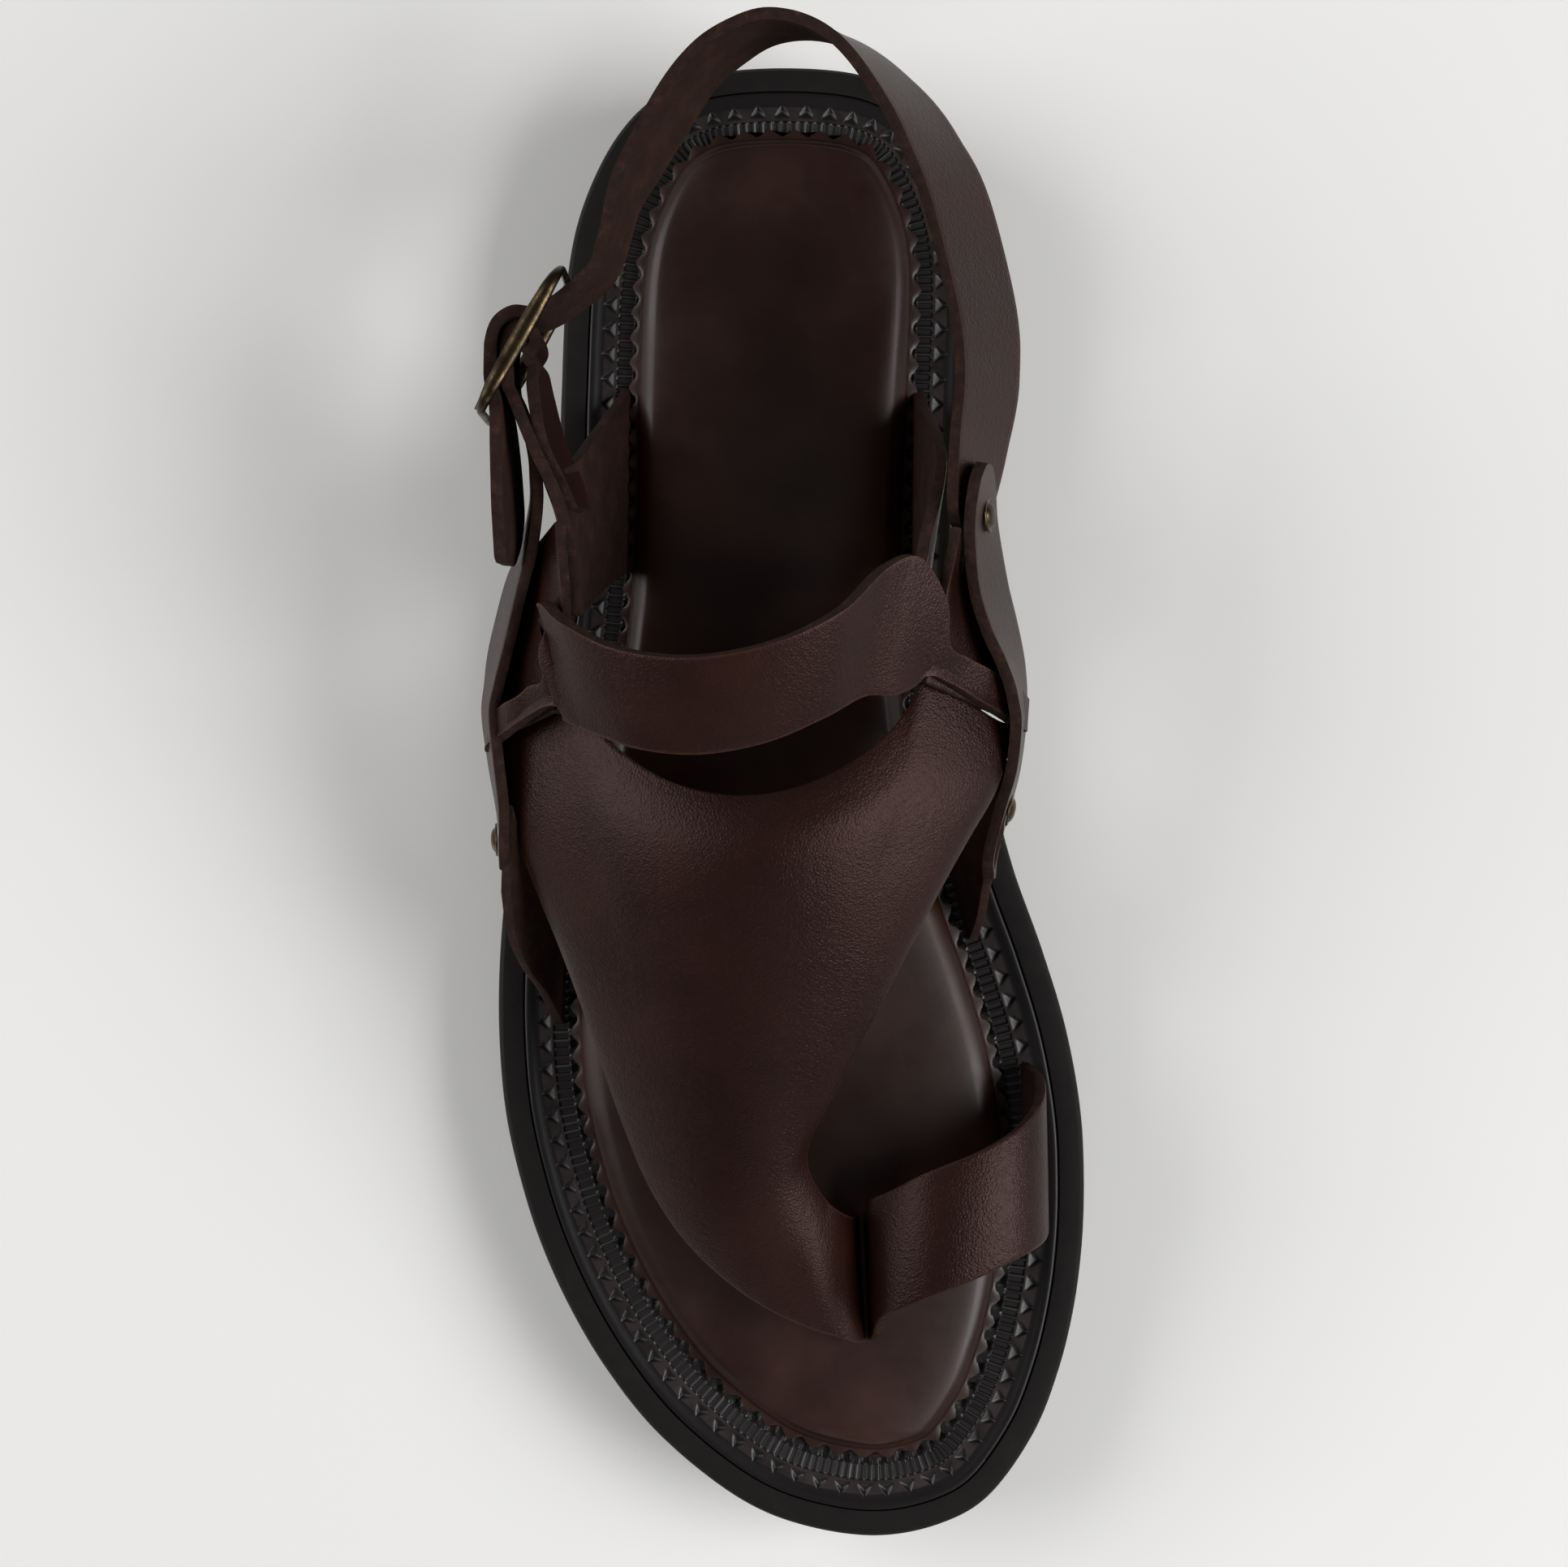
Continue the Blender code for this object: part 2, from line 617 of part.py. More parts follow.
def loop_radius():
    return BUCKLE_WIRE_RADIUS + CLEARANCE + LEATHER / 2


def heel_strap_radius():
    """Where the heel strap's middle runs round the bar, outside the loop that holds the buckle."""
    return loop_radius() + LEATHER + 2 * CLEARANCE


def sheet_solid(name, grid, collection, thickness=LEATHER):
    """A strap's sheet given its thickness and made a plain mesh object."""
    across = len(grid[0])
    points = [point for row in grid for point in row]
    faces = []
    for r in range(len(grid) - 1):
        for c in range(across - 1):
            near = r * across + c
            faces.append((near, near + 1, near + across + 1, near + across))
    piece = new_object(name, mesh_of(name, points, faces), collection)
    wall = piece.modifiers.new("wall", "SOLIDIFY")
    wall.thickness = thickness
    wall.offset = 0.0
    wall.use_even_offset = True
    bpy.context.view_layer.update()
    solid = bpy.data.meshes.new_from_object(piece.evaluated_get(bpy.context.evaluated_depsgraph_get()))
    piece.modifiers.clear()
    piece.data = solid
    outward(solid)
    return piece


def slot_box(name, table_row, thickness, collection, shift=0.0, floor_to=SLOT_HEADROOM):
    """A cutter where a strap's foot goes down through the board, with clearance all round."""
    start, end = place(*table_row[:2], 0), place(*table_row[3:5], 0)
    way = (end - start).to_2d().normalized()
    middle = (start + end) / 2
    length = (end - start).to_2d().length + 2 * CLEARANCE
    low = min(seat_height(table_row[1]), seat_height(table_row[4])) - BOARD_THICKNESS / 2
    high = max(start.z, end.z) + floor_to
    sideways = Vector((-way.y, way.x, 0)) * shift
    turn = Matrix.Rotation(math.atan2(way.y, way.x), 4, "Z")
    size = Matrix.Diagonal((length, thickness + 2 * CLEARANCE, high - low, 1))
    centre = Vector((middle.x, middle.y, (low + high) / 2)) + sideways
    work = bmesh.new()
    bmesh.ops.create_cube(work, size=1.0, matrix=Matrix.Translation(centre) @ turn @ size)
    mesh = bpy.data.meshes.new(name)
    work.to_mesh(mesh)
    work.free()
    return new_cutter(name, mesh, collection)


def boolean(piece, other, operation):
    modifier = piece.modifiers.new(f"{operation.lower()} {other.name}", "BOOLEAN")
    modifier.operation = operation
    modifier.solver = "EXACT"
    modifier.object = other


def tread_cutter(outline, collection):
    """Grooves across the tread, which leave the main lugs between them."""
    reach = SOLE_LENGTH / 2
    work = bmesh.new()
    for start, end in ((-0.86, 0.06), (0.54, 0.92)):
        count = int((end - start) * reach / TREAD_PITCH)
        for k in range(count + 1):
            along = start + k * TREAD_PITCH / reach
            size = Matrix.Diagonal((1.4 * BALL_WIDTH, TREAD_GROOVE_WIDTH, 2 * TREAD_GROOVE_DEPTH, 1))
            centre = Vector((0, along * reach, ground(along)))
            bmesh.ops.create_cube(work, size=1.0, matrix=Matrix.Translation(centre) @ size)
    mesh = bpy.data.meshes.new("tread_grooves")
    work.to_mesh(mesh)
    work.free()
    return new_cutter("tread_grooves", mesh, collection)


def wire_mesh(name, points, radius, closed, collection):
    """A round wire along a line, as a mesh with its caps welded."""
    curve = bpy.data.curves.new(name, "CURVE")
    curve.dimensions = "3D"
    curve.bevel_depth = radius
    curve.bevel_resolution = 2
    curve.use_fill_caps = not closed
    spline = curve.splines.new("POLY")
    spline.points.add(len(points) - 1)
    for knot, point in zip(spline.points, points):
        knot.co = (*point, 1.0)
    spline.use_cyclic_u = closed
    guide = bpy.data.objects.new(name, curve)
    collection.objects.link(guide)
    bpy.context.view_layer.update()
    mesh = bpy.data.meshes.new_from_object(guide.evaluated_get(bpy.context.evaluated_depsgraph_get()))
    bpy.data.objects.remove(guide)
    work = bmesh.new()
    work.from_mesh(mesh)
    bmesh.ops.remove_doubles(work, verts=work.verts, dist=1e-6)
    bmesh.ops.recalc_face_normals(work, faces=work.faces)
    work.to_mesh(mesh)
    work.free()
    mesh.materials.clear()
    return mesh


def buckle_frame_points():
    """The frame's ring: a rectangle with round corners, upright along the strap."""
    centre = bar_place()
    forward = Vector((*BUCKLE_FORWARD, 0)).normalized()
    half_length = BUCKLE_LENGTH / 2 - BUCKLE_WIRE_RADIUS
    half_height = BUCKLE_HEIGHT / 2 - BUCKLE_WIRE_RADIUS
    points = []
    for corner in range(4):
        side = 1 if corner in (0, 3) else -1
        level = 1 if corner in (0, 1) else -1
        for k in range(5):
            angle = math.radians(90 * corner + 22.5 * k)
            ahead = side * (half_length - BUCKLE_CORNER_RADIUS) + BUCKLE_CORNER_RADIUS * math.cos(angle)
            up = level * (half_height - BUCKLE_CORNER_RADIUS) + BUCKLE_CORNER_RADIUS * math.sin(angle)
            points.append(centre + forward * ahead + Vector((0, 0, up)))
    return points


def prong_points():
    """The prong: from the bar, out through the strap, and forward to rest on the front of the frame."""
    centre = bar_place()
    forward = Vector((*BUCKLE_FORWARD, 0)).normalized()
    out = Vector((forward.y, -forward.x, 0))
    start = BUCKLE_WIRE_RADIUS + CLEARANCE + PRONG_RADIUS
    end = BUCKLE_LENGTH / 2 - BUCKLE_WIRE_RADIUS
    strap_out = heel_strap_radius() + LEATHER / 2 + CLEARANCE + PRONG_RADIUS
    rows = [
        (0.0, start),
        (0.02 * end, 0.55 * strap_out),
        (0.14 * end, 0.92 * strap_out),
        (0.30 * end, strap_out),
        (0.62 * end, 0.72 * strap_out),
        (end, start),
    ]
    return [centre + forward * ahead + out * away for ahead, away in through(rows, 3)]


def rivet_mesh(name):
    """A domed head turned round its own axis."""
    profile = [(0.0, 0.0), (RIVET_RADIUS, 0.0), (RIVET_RADIUS, 0.25 * RIVET_HEIGHT)]
    for k in range(1, 5):
        angle = math.radians(90 * k / 4)
        profile.append((RIVET_RADIUS * math.cos(angle), RIVET_HEIGHT * (0.25 + 0.75 * math.sin(angle))))
    mesh = bpy.data.meshes.new(name)
    work = bmesh.new()
    corners = [work.verts.new((max(x, 0.0) if x > 1e-9 else 0.0, 0.0, z)) for x, z in profile]
    for near, far in zip(corners, corners[1:]):
        work.edges.new((near, far))
    bmesh.ops.spin(
        work, geom=work.verts[:] + work.edges[:], cent=(0, 0, 0), axis=(0, 0, 1),
        angle=2 * math.pi, steps=14, use_merge=True, use_duplicate=False,
    )
    bmesh.ops.remove_doubles(work, verts=work.verts, dist=1e-6)
    bmesh.ops.recalc_face_normals(work, faces=work.faces)
    work.to_mesh(mesh)
    work.free()
    return mesh


def add_rivet(name, row, way, inner_side, collection, material):
    """A rivet head seated on the outer face of an upright strap, at one row of its middle line."""
    inside = Vector((-way.y, way.x, 0)).normalized() * inner_side
    lean = row[3]
    out = -(inside * math.sqrt(1 - lean * lean) - Vector((0, 0, lean)))
    piece = new_object(name, rivet_mesh(name), collection, material)
    piece.location = Vector(row[:3]) + out * (LEATHER / 2 + RIVET_SEAT)
    piece.rotation_euler = out.to_track_quat("Z", "Y").to_euler()
    return piece


def add_sole(outline, parts, cutters):
    rubber = leather_material("rubber", (0.012, 0.012, 0.013), 0.6)
    board_finish = leather_material("embossed_board", (0.008, 0.007, 0.007), 0.35)
    brown = leather_material("footbed_leather", (0.030, 0.018, 0.013), 0.45)
    outsole = new_object("outsole", outsole_mesh(outline), parts, rubber)
    boolean(outsole, tread_cutter(outline, cutters), "DIFFERENCE")
    board = new_object("welt_board", welt_board_mesh(outline), parts, board_finish)
    footbed = new_object("footbed", footbed_mesh(outline), parts, brown)
    slots = {
        "lateral_ball_slot": LATERAL_FRONT_STRAP[0],
        "medial_ball_slot": MEDIAL_FRONT_STRAP[0],
        "lateral_waist_slot": LATERAL_QUARTER[0],
        "medial_waist_slot": MEDIAL_QUARTER[0],
        "medial_toe_slot": TOE_LOOP[-1],
    }
    for name, row in slots.items():
        cutter = slot_box(name, row, LEATHER, cutters)
        boolean(board, cutter, "DIFFERENCE")
        boolean(footbed, cutter, "DIFFERENCE")
    gap = (place(*VAMP[0][:3]) - place(*TOE_LOOP[0][:3])).length
    middle = tuple((a + b) / 2 for a, b in zip(VAMP[0], TOE_LOOP[0]))
    toe_slot = slot_box("toe_slot", middle, LEATHER + gap, cutters, floor_to=4 * SLOT_HEADROOM)
    boolean(board, toe_slot, "DIFFERENCE")
    boolean(footbed, toe_slot, "DIFFERENCE")


def add_upper(parts, cutters, leather):
    """Vamp, instep band, side straps, front straps, quarters and the buckle's loop, joined where they cross."""
    upper = sheet_solid("upper", edge_grid(VAMP, 10, 2, crown=VAMP_CROWN), parts)
    upper.data.materials.append(leather)
    loop = placed(BUCKLE_HOLDER)
    loop += arc_round_bar(loop_radius(), -20, 200, 44, 0.98)
    loop += placed(BUCKLE_LOOP_RETURN)
    grids = {
        "instep_band": edge_grid(INSTEP_BAND, 5, 2, bow=0.02, feet=(False, False)),
        "lateral_wing": edge_grid(LATERAL_WING, 3, 1, feet=(False, False)),
        "medial_wing": edge_grid(MEDIAL_WING, 3, 1, feet=(False, False)),
        "lateral_quarter": edge_grid(LATERAL_QUARTER, 4, 2),
        "medial_quarter": edge_grid(MEDIAL_QUARTER, 4, 2),
        "lateral_front_strap": edge_grid(LATERAL_FRONT_STRAP, 3, 2),
        "medial_front_strap": edge_grid(MEDIAL_FRONT_STRAP, 3, 2),
        "buckle_holder": upright_grid(loop, SIDE_STRAP_WIDTH, -1, 2, columns=2),
        "lateral_side_strap": upright_grid(placed(LATERAL_SIDE_STRAP), SIDE_STRAP_WIDTH, -1, 1, columns=2),
        "medial_side_strap": upright_grid(placed(MEDIAL_SIDE_STRAP), SIDE_STRAP_WIDTH, -1, 1, columns=2),
    }
    for name, grid in grids.items():
        strip = sheet_solid(name, grid, cutters)
        strip.hide_render = True
        strip.display_type = "WIRE"
        boolean(upper, strip, "UNION")
    return upper


def heel_strap_rows():
    rows = placed(HEEL_STRAP)
    rows += arc_round_bar(heel_strap_radius(), 80, -25, 35, 1.0)
    return rows + placed(HEEL_STRAP_END)


def add_buckle(parts, cutters, brass):
    frame = new_object(
        "buckle_frame", wire_mesh("buckle_frame", buckle_frame_points(), BUCKLE_WIRE_RADIUS, True, cutters), parts, brass
    )
    half = BUCKLE_HEIGHT / 2 - BUCKLE_WIRE_RADIUS
    ends = [bar_place() - Vector((0, 0, half)), bar_place() + Vector((0, 0, half))]
    bar = new_cutter("buckle_bar", wire_mesh("buckle_bar", ends, 0.98 * BUCKLE_WIRE_RADIUS, False, cutters), cutters)
    boolean(frame, bar, "UNION")
    new_object("buckle_prong", wire_mesh("buckle_prong", prong_points(), PRONG_RADIUS, False, cutters), parts, brass)
    hole = wire_mesh("prong_hole", prong_points(), PRONG_RADIUS + CLEARANCE, False, cutters)
    return new_cutter("prong_hole", hole, cutters)


def main():
    for old in list(bpy.data.objects):
        bpy.data.objects.remove(old)
    scene = bpy.context.scene
    parts = bpy.data.collections.new("wraparound_sandal")
    cutters = bpy.data.collections.new("cutters")
    scene.collection.children.link(parts)
    scene.collection.children.link(cutters)
    outline = sole_outline()
    add_sole(outline, parts, cutters)

    leather = leather_material("upper_leather", (0.022, 0.013, 0.010), 0.42)
    brass = leather_material("antique_brass", (0.33, 0.24, 0.13), 0.35, 1.0)
    upper = add_upper(parts, cutters, leather)
    toe_loop = sheet_solid("toe_loop", edge_grid(TOE_LOOP, 4, 2, bow=0.03, feet=(True, True)), parts)
    toe_loop.data.materials.append(leather)
    rows = heel_strap_rows()
    heel_strap = sheet_solid("heel_strap", upright_grid(rows, HEEL_STRAP_WIDTH, 1, 2, columns=2), parts)
    heel_strap.data.materials.append(leather)

    hole = add_buckle(parts, cutters, brass)
    boolean(upper, hole, "DIFFERENCE")
    boolean(heel_strap, hole, "DIFFERENCE")

    rivets = (
        ("medial_rear_rivet", placed(MEDIAL_SIDE_STRAP), 2, -1),
        ("medial_front_rivet", placed(MEDIAL_SIDE_STRAP), 10, -1),
        ("lateral_front_rivet", placed(LATERAL_SIDE_STRAP), 1, -1),
    )
    for name, line, index, inner_side in rivets:
        way = Vector(line[index + 1][:3]) - Vector(line[index - 1][:3])
        add_rivet(name, line[index], way, inner_side, parts, brass)
    for piece in parts.objects:
        piece.data.shade_smooth()
        piece.data.set_sharp_from_angle(angle=math.radians(35))


main()
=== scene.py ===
"""Looks of a wraparound sandal, right foot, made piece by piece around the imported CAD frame.

Metres, +Z up. The toe points to -Y and the big toe's side is +X. Lengths along the shoe are shares of half
the sole's length, lengths across are shares of half its width there, and heights of the straps are shares of
the instep's height above the board.
"""

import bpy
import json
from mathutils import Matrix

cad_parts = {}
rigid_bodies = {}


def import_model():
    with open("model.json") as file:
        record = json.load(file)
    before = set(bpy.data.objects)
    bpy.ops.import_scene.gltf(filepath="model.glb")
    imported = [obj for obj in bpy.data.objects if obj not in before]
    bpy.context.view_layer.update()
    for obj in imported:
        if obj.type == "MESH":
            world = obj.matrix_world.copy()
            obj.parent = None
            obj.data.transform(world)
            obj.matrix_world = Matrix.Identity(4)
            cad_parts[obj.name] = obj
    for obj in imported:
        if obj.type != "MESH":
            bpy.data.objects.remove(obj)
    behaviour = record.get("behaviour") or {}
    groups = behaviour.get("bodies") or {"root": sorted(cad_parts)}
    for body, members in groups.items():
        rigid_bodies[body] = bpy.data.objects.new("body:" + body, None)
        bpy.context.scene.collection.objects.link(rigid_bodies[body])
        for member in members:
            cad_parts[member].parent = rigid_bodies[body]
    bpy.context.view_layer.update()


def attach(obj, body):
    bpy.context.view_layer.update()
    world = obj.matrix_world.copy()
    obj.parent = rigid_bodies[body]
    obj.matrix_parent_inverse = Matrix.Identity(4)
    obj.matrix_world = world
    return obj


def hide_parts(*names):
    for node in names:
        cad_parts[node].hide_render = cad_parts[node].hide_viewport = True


bl_info = {
    "name": "Wraparound sandal",
    "version": (1, 0, 0),
    "blender": (4, 5, 0),
    "location": "View3D > Sidebar > Sandal",
    "description": "Models a leather wraparound sandal with an embossed board and a brass buckle",
    "category": "Add Mesh",
}

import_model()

import json
import math

import bpy
import numpy as np
from bpy.props import FloatProperty, FloatVectorProperty, PointerProperty
from mathutils import Matrix, Vector

BODY = "root"

# Sizes of the last and the sole, in metres
SOLE_LENGTH = 0.295
BALL_WIDTH = 0.119
HEEL_WIDTH = 0.085
INSTEP_HEIGHT = 0.062
BALL_DECK_HEIGHT = 0.0208
HEEL_DECK_HEIGHT = 0.0288
TOE_SPRING = 0.0050
ARCH_LIFT = 0.0055
TREAD_GROOVE_WIDTH = 0.0030
TREAD_GROOVE_DEPTH = 0.0015
TREAD_PITCH = 0.0125
RIM_WIDTH = 0.0050
RIM_EDGE_RISE = 0.0005
BOARD_THICKNESS = 0.0040
BOARD_PROUD = 0.0010
TOE_MARGIN = 0.0172
HEEL_MARGIN = 0.0146
FOOTBED_EDGE = 0.0030
FOOTBED_CROWN = 0.0032
FOOTBED_SIDE = 0.0036
PINKING = 0.0016
ARCH_SUPPORT = 0.0030
CLEARANCE = 0.0003

# Sizes of the leather, the buckle and the rivets, in metres; scoop starts and ends are shares of its edge
LEATHER = 0.0022
SIDE_STRAP_WIDTH = 0.0182
HEEL_STRAP_WIDTH = 0.0202
BUCKLE_LENGTH = 0.0325
BUCKLE_HEIGHT = 0.0280
BUCKLE_WIRE_RADIUS = 0.0012
BUCKLE_CORNER_RADIUS = 0.0050
BAR_RADIUS = 0.0010
PRONG_RADIUS = 0.0009
RIVET_RADIUS = 0.0030
RIVET_HEIGHT = 0.0013
RIVET_SEAT = 0.0007
RIVET_SINK = 0.0005
RIVET_FLARE = 1.08
SCOOP_DEPTH = 0.0212
SCOOP_START = 0.155
SCOOP_END = 0.815
LATERAL_HORN = 0.0085
MEDIAL_HORN = 0.009

# How finely the pieces are cut: points of half an outline, columns across, steps of curves, sides of wires
OUTSOLE_POINTS = 300
BOARD_POINTS = 1500
FOOTBED_POINTS = 560
TREAD_COLUMNS = 24
FOOTBED_COLUMNS = 56
CURVE_STEPS = 24
FOOT_STEPS = 5
WIRE_SIDES = 16

# Sole outline: along, lateral edge, medial edge
OUTLINE = [
    (-1.000, 0.289, 0.289), (-0.985, 0.030, 0.500), (-0.952, -0.169, 0.656), (-0.865, -0.448, 0.822),
    (-0.777, -0.628, 0.912), (-0.689, -0.759, 0.966), (-0.600, -0.858, 0.994), (-0.511, -0.927, 1.000),
    (-0.422, -0.974, 0.988), (-0.310, -0.996, 0.938), (-0.199, -0.991, 0.855), (-0.089, -0.964, 0.758),
    (0.033, -0.913, 0.686), (0.155, -0.941, 0.710), (0.276, -1.036, 0.811), (0.408, -1.096, 0.893),
    (0.553, -1.084, 0.914), (0.729, -1.049, 0.925), (0.817, -0.977, 0.872), (0.905, -0.827, 0.739),
    (0.955, -0.666, 0.594), (0.988, -0.438, 0.364), (1.000, -0.018, -0.018),
]

# Side of the outsole from the tread to the rim: set in from the outline in metres, share of the height
SIDE_STEPS = [
    (0.0046, 0.00), (0.0036, 0.02), (0.0028, 0.045), (0.0024, 0.07), (0.0017, 0.11), (0.0014, 0.16),
    (0.0012, 0.30), (0.0012, 0.42), (0.0015, 0.455), (0.0024, 0.48), (0.0024, 0.55), (0.0010, 0.58),
    (0.0004, 0.61), (0.0000, 0.66), (0.0000, 0.80), (0.0000, 0.91), (0.0002, 0.95), (0.0005, 0.98),
    (0.0010, 1.00),
]

# The rim and its inner wall down to the board's seat: set in from the outline, rise over the rim, in metres
RIM_STEPS = [
    (0.0020, 0.0006), (0.0034, 0.0006), (0.0046, 0.0006), (0.00508, 0.00055), (0.00518, 0.0002),
    (0.0052, -0.0030),
]

# Edge strips of the straps, a row for each section: across, along and rise of one edge, then of the other
VAMP = [
    (0.232, -0.729, 0.00, 0.214, -0.560, 0.00), (0.230, -0.727, 0.14, 0.209, -0.560, 0.12),
    (0.200, -0.721, 0.23, 0.188, -0.554, 0.24), (0.148, -0.708, 0.27, 0.148, -0.542, 0.33),
    (0.067, -0.693, 0.31, 0.094, -0.520, 0.38), (-0.052, -0.670, 0.32, 0.054, -0.492, 0.42),
    (-0.187, -0.635, 0.32, 0.037, -0.462, 0.45), (-0.321, -0.585, 0.32, 0.052, -0.432, 0.48),
    (-0.440, -0.517, 0.32, 0.104, -0.391, 0.50), (-0.539, -0.425, 0.33, 0.202, -0.315, 0.54),
    (-0.625, -0.321, 0.37, 0.319, -0.222, 0.58), (-0.713, -0.218, 0.41, 0.440, -0.126, 0.60),
    (-0.805, -0.122, 0.44, 0.548, -0.047, 0.59), (-0.879, -0.041, 0.45, 0.636, 0.012, 0.56),
    (-0.935, 0.038, 0.43, 0.695, 0.062, 0.52), (-0.965, 0.087, 0.42, 0.745, 0.103, 0.48),
]
# Rise of the vamp's crown over its chord, as a share of the instep's height, and how far it follows the scoop
VAMP_CROWN = [
    (0.00, 0.0), (0.00, 0.0), (0.01, 0.0), (0.02, 0.0), (0.04, 0.0), (0.05, 0.0), (0.07, 0.0), (0.09, 0.0),
    (0.12, 0.0), (0.16, 0.0), (0.20, 0.0), (0.25, 0.05), (0.30, 0.20), (0.33, 0.45), (0.34, 0.75),
    (0.34, 1.0),
]
INSTEP_BAND = [
    (-0.962, 0.065, 0.39, -0.975, 0.102, 0.40), (-0.955, 0.072, 0.47, -0.968, 0.108, 0.49),
    (-0.905, 0.089, 0.56, -0.938, 0.135, 0.60), (-0.837, 0.112, 0.64, -0.883, 0.154, 0.66),
    (-0.779, 0.127, 0.70, -0.837, 0.165, 0.72), (-0.735, 0.115, 0.73, -0.900, 0.207, 0.74),
    (-0.692, 0.104, 0.77, -0.967, 0.256, 0.74), (-0.606, 0.092, 0.83, -0.837, 0.230, 0.86),
    (-0.478, 0.075, 0.90, -0.623, 0.197, 0.96), (-0.294, 0.068, 0.95, -0.354, 0.184, 1.04),
    (-0.092, 0.082, 0.97, -0.073, 0.201, 1.06), (0.091, 0.113, 0.93, 0.165, 0.240, 1.02),
    (0.232, 0.140, 0.86, 0.356, 0.294, 0.92), (0.330, 0.142, 0.81, 0.500, 0.311, 0.85),
    (0.408, 0.158, 0.75, 0.581, 0.262, 0.77), (0.466, 0.165, 0.71, 0.554, 0.209, 0.72),
    (0.524, 0.152, 0.66, 0.609, 0.193, 0.66), (0.600, 0.132, 0.60, 0.696, 0.175, 0.59),
    (0.698, 0.106, 0.51, 0.753, 0.154, 0.50), (0.744, 0.092, 0.40, 0.784, 0.138, 0.39),
]
# The band's front edge turned up: height, reach, share of it at even steps; then its lift off the vamp
BAND_CURL = (
    0.0013, 0.0030, [1.0, 1.0, 1.0, 0.8, 0.0, 0.0, 0.0, 0.0, 0.0, 0.0, 0.0, 0.0, 0.8, 1.0, 1.0, 1.0],
)
BAND_LIFT = [0.0022, 0.0024, 0.0018, 0.0006, 0.0006, 0.0006, 0.0006, 0.0018, 0.0024, 0.0022]
TOE_LOOP = [
    (0.280, -0.729, 0.00, 0.263, -0.560, 0.00), (0.280, -0.725, 0.14, 0.262, -0.560, 0.12),
    (0.289, -0.713, 0.20, 0.266, -0.541, 0.21), (0.303, -0.691, 0.27, 0.279, -0.526, 0.29),
    (0.336, -0.675, 0.34, 0.336, -0.512, 0.35), (0.454, -0.649, 0.41, 0.440, -0.486, 0.41),
    (0.607, -0.623, 0.41, 0.607, -0.458, 0.41), (0.748, -0.598, 0.36, 0.733, -0.431, 0.36),
    (0.827, -0.583, 0.27, 0.815, -0.399, 0.27), (0.840, -0.567, 0.16, 0.832, -0.372, 0.16),
    (0.815, -0.553, 0.00, 0.800, -0.357, 0.00),
]
LATERAL_FRONT_STRAP = [
    (-0.790, -0.303, 0.00, -0.775, -0.128, 0.00), (-0.832, -0.258, 0.12, -0.805, -0.098, 0.16),
    (-0.884, -0.221, 0.23, -0.854, -0.064, 0.33), (-0.918, -0.172, 0.36, -0.896, -0.031, 0.45),
    (-0.928, -0.116, 0.45, -0.914, 0.001, 0.51),
]
MEDIAL_FRONT_STRAP = [
    (0.622, -0.186, 0.00, 0.513, -0.034, 0.00), (0.640, -0.154, 0.12, 0.545, -0.011, 0.13),
    (0.649, -0.114, 0.23, 0.592, 0.017, 0.27), (0.661, -0.075, 0.34, 0.643, 0.038, 0.40),
    (0.676, -0.042, 0.42, 0.700, 0.058, 0.49),
]
LATERAL_QUARTER = [
    (-0.774, 0.561, 0.00, -0.755, 0.314, 0.00), (-0.858, 0.515, 0.15, -0.800, 0.291, 0.20),
    (-0.930, 0.473, 0.35, -0.832, 0.264, 0.40), (-1.000, 0.439, 0.55, -0.852, 0.246, 0.60),
    (-1.062, 0.420, 0.76, -0.862, 0.236, 0.75),
]
MEDIAL_QUARTER = [
    (0.598, 0.559, 0.00, 0.573, 0.319, 0.00), (0.621, 0.524, 0.18, 0.549, 0.292, 0.23),
    (0.654, 0.487, 0.38, 0.540, 0.281, 0.42), (0.680, 0.443, 0.54, 0.547, 0.278, 0.60),
    (0.660, 0.392, 0.68, 0.540, 0.271, 0.75), (0.605, 0.339, 0.78, 0.505, 0.258, 0.83),
]
LATERAL_WING = [
    (-0.968, 0.088, 0.45, -0.757, 0.124, 0.68), (-1.014, 0.139, 0.45, -0.793, 0.156, 0.71),
    (-1.052, 0.181, 0.46, -0.820, 0.186, 0.73), (-1.085, 0.233, 0.48, -0.855, 0.237, 0.76),
    (-1.098, 0.280, 0.52, -0.925, 0.295, 0.79), (-1.104, 0.322, 0.55, -0.990, 0.356, 0.81),
]
MEDIAL_WING = [
    (0.769, 0.103, 0.51, 0.455, 0.155, 0.71), (0.797, 0.149, 0.50, 0.497, 0.185, 0.71),
    (0.812, 0.202, 0.51, 0.538, 0.212, 0.74), (0.816, 0.247, 0.52, 0.576, 0.250, 0.76),
    (0.820, 0.290, 0.50, 0.622, 0.288, 0.77), (0.836, 0.325, 0.48, 0.672, 0.322, 0.78),
    (0.848, 0.350, 0.48, 0.702, 0.349, 0.78),
]

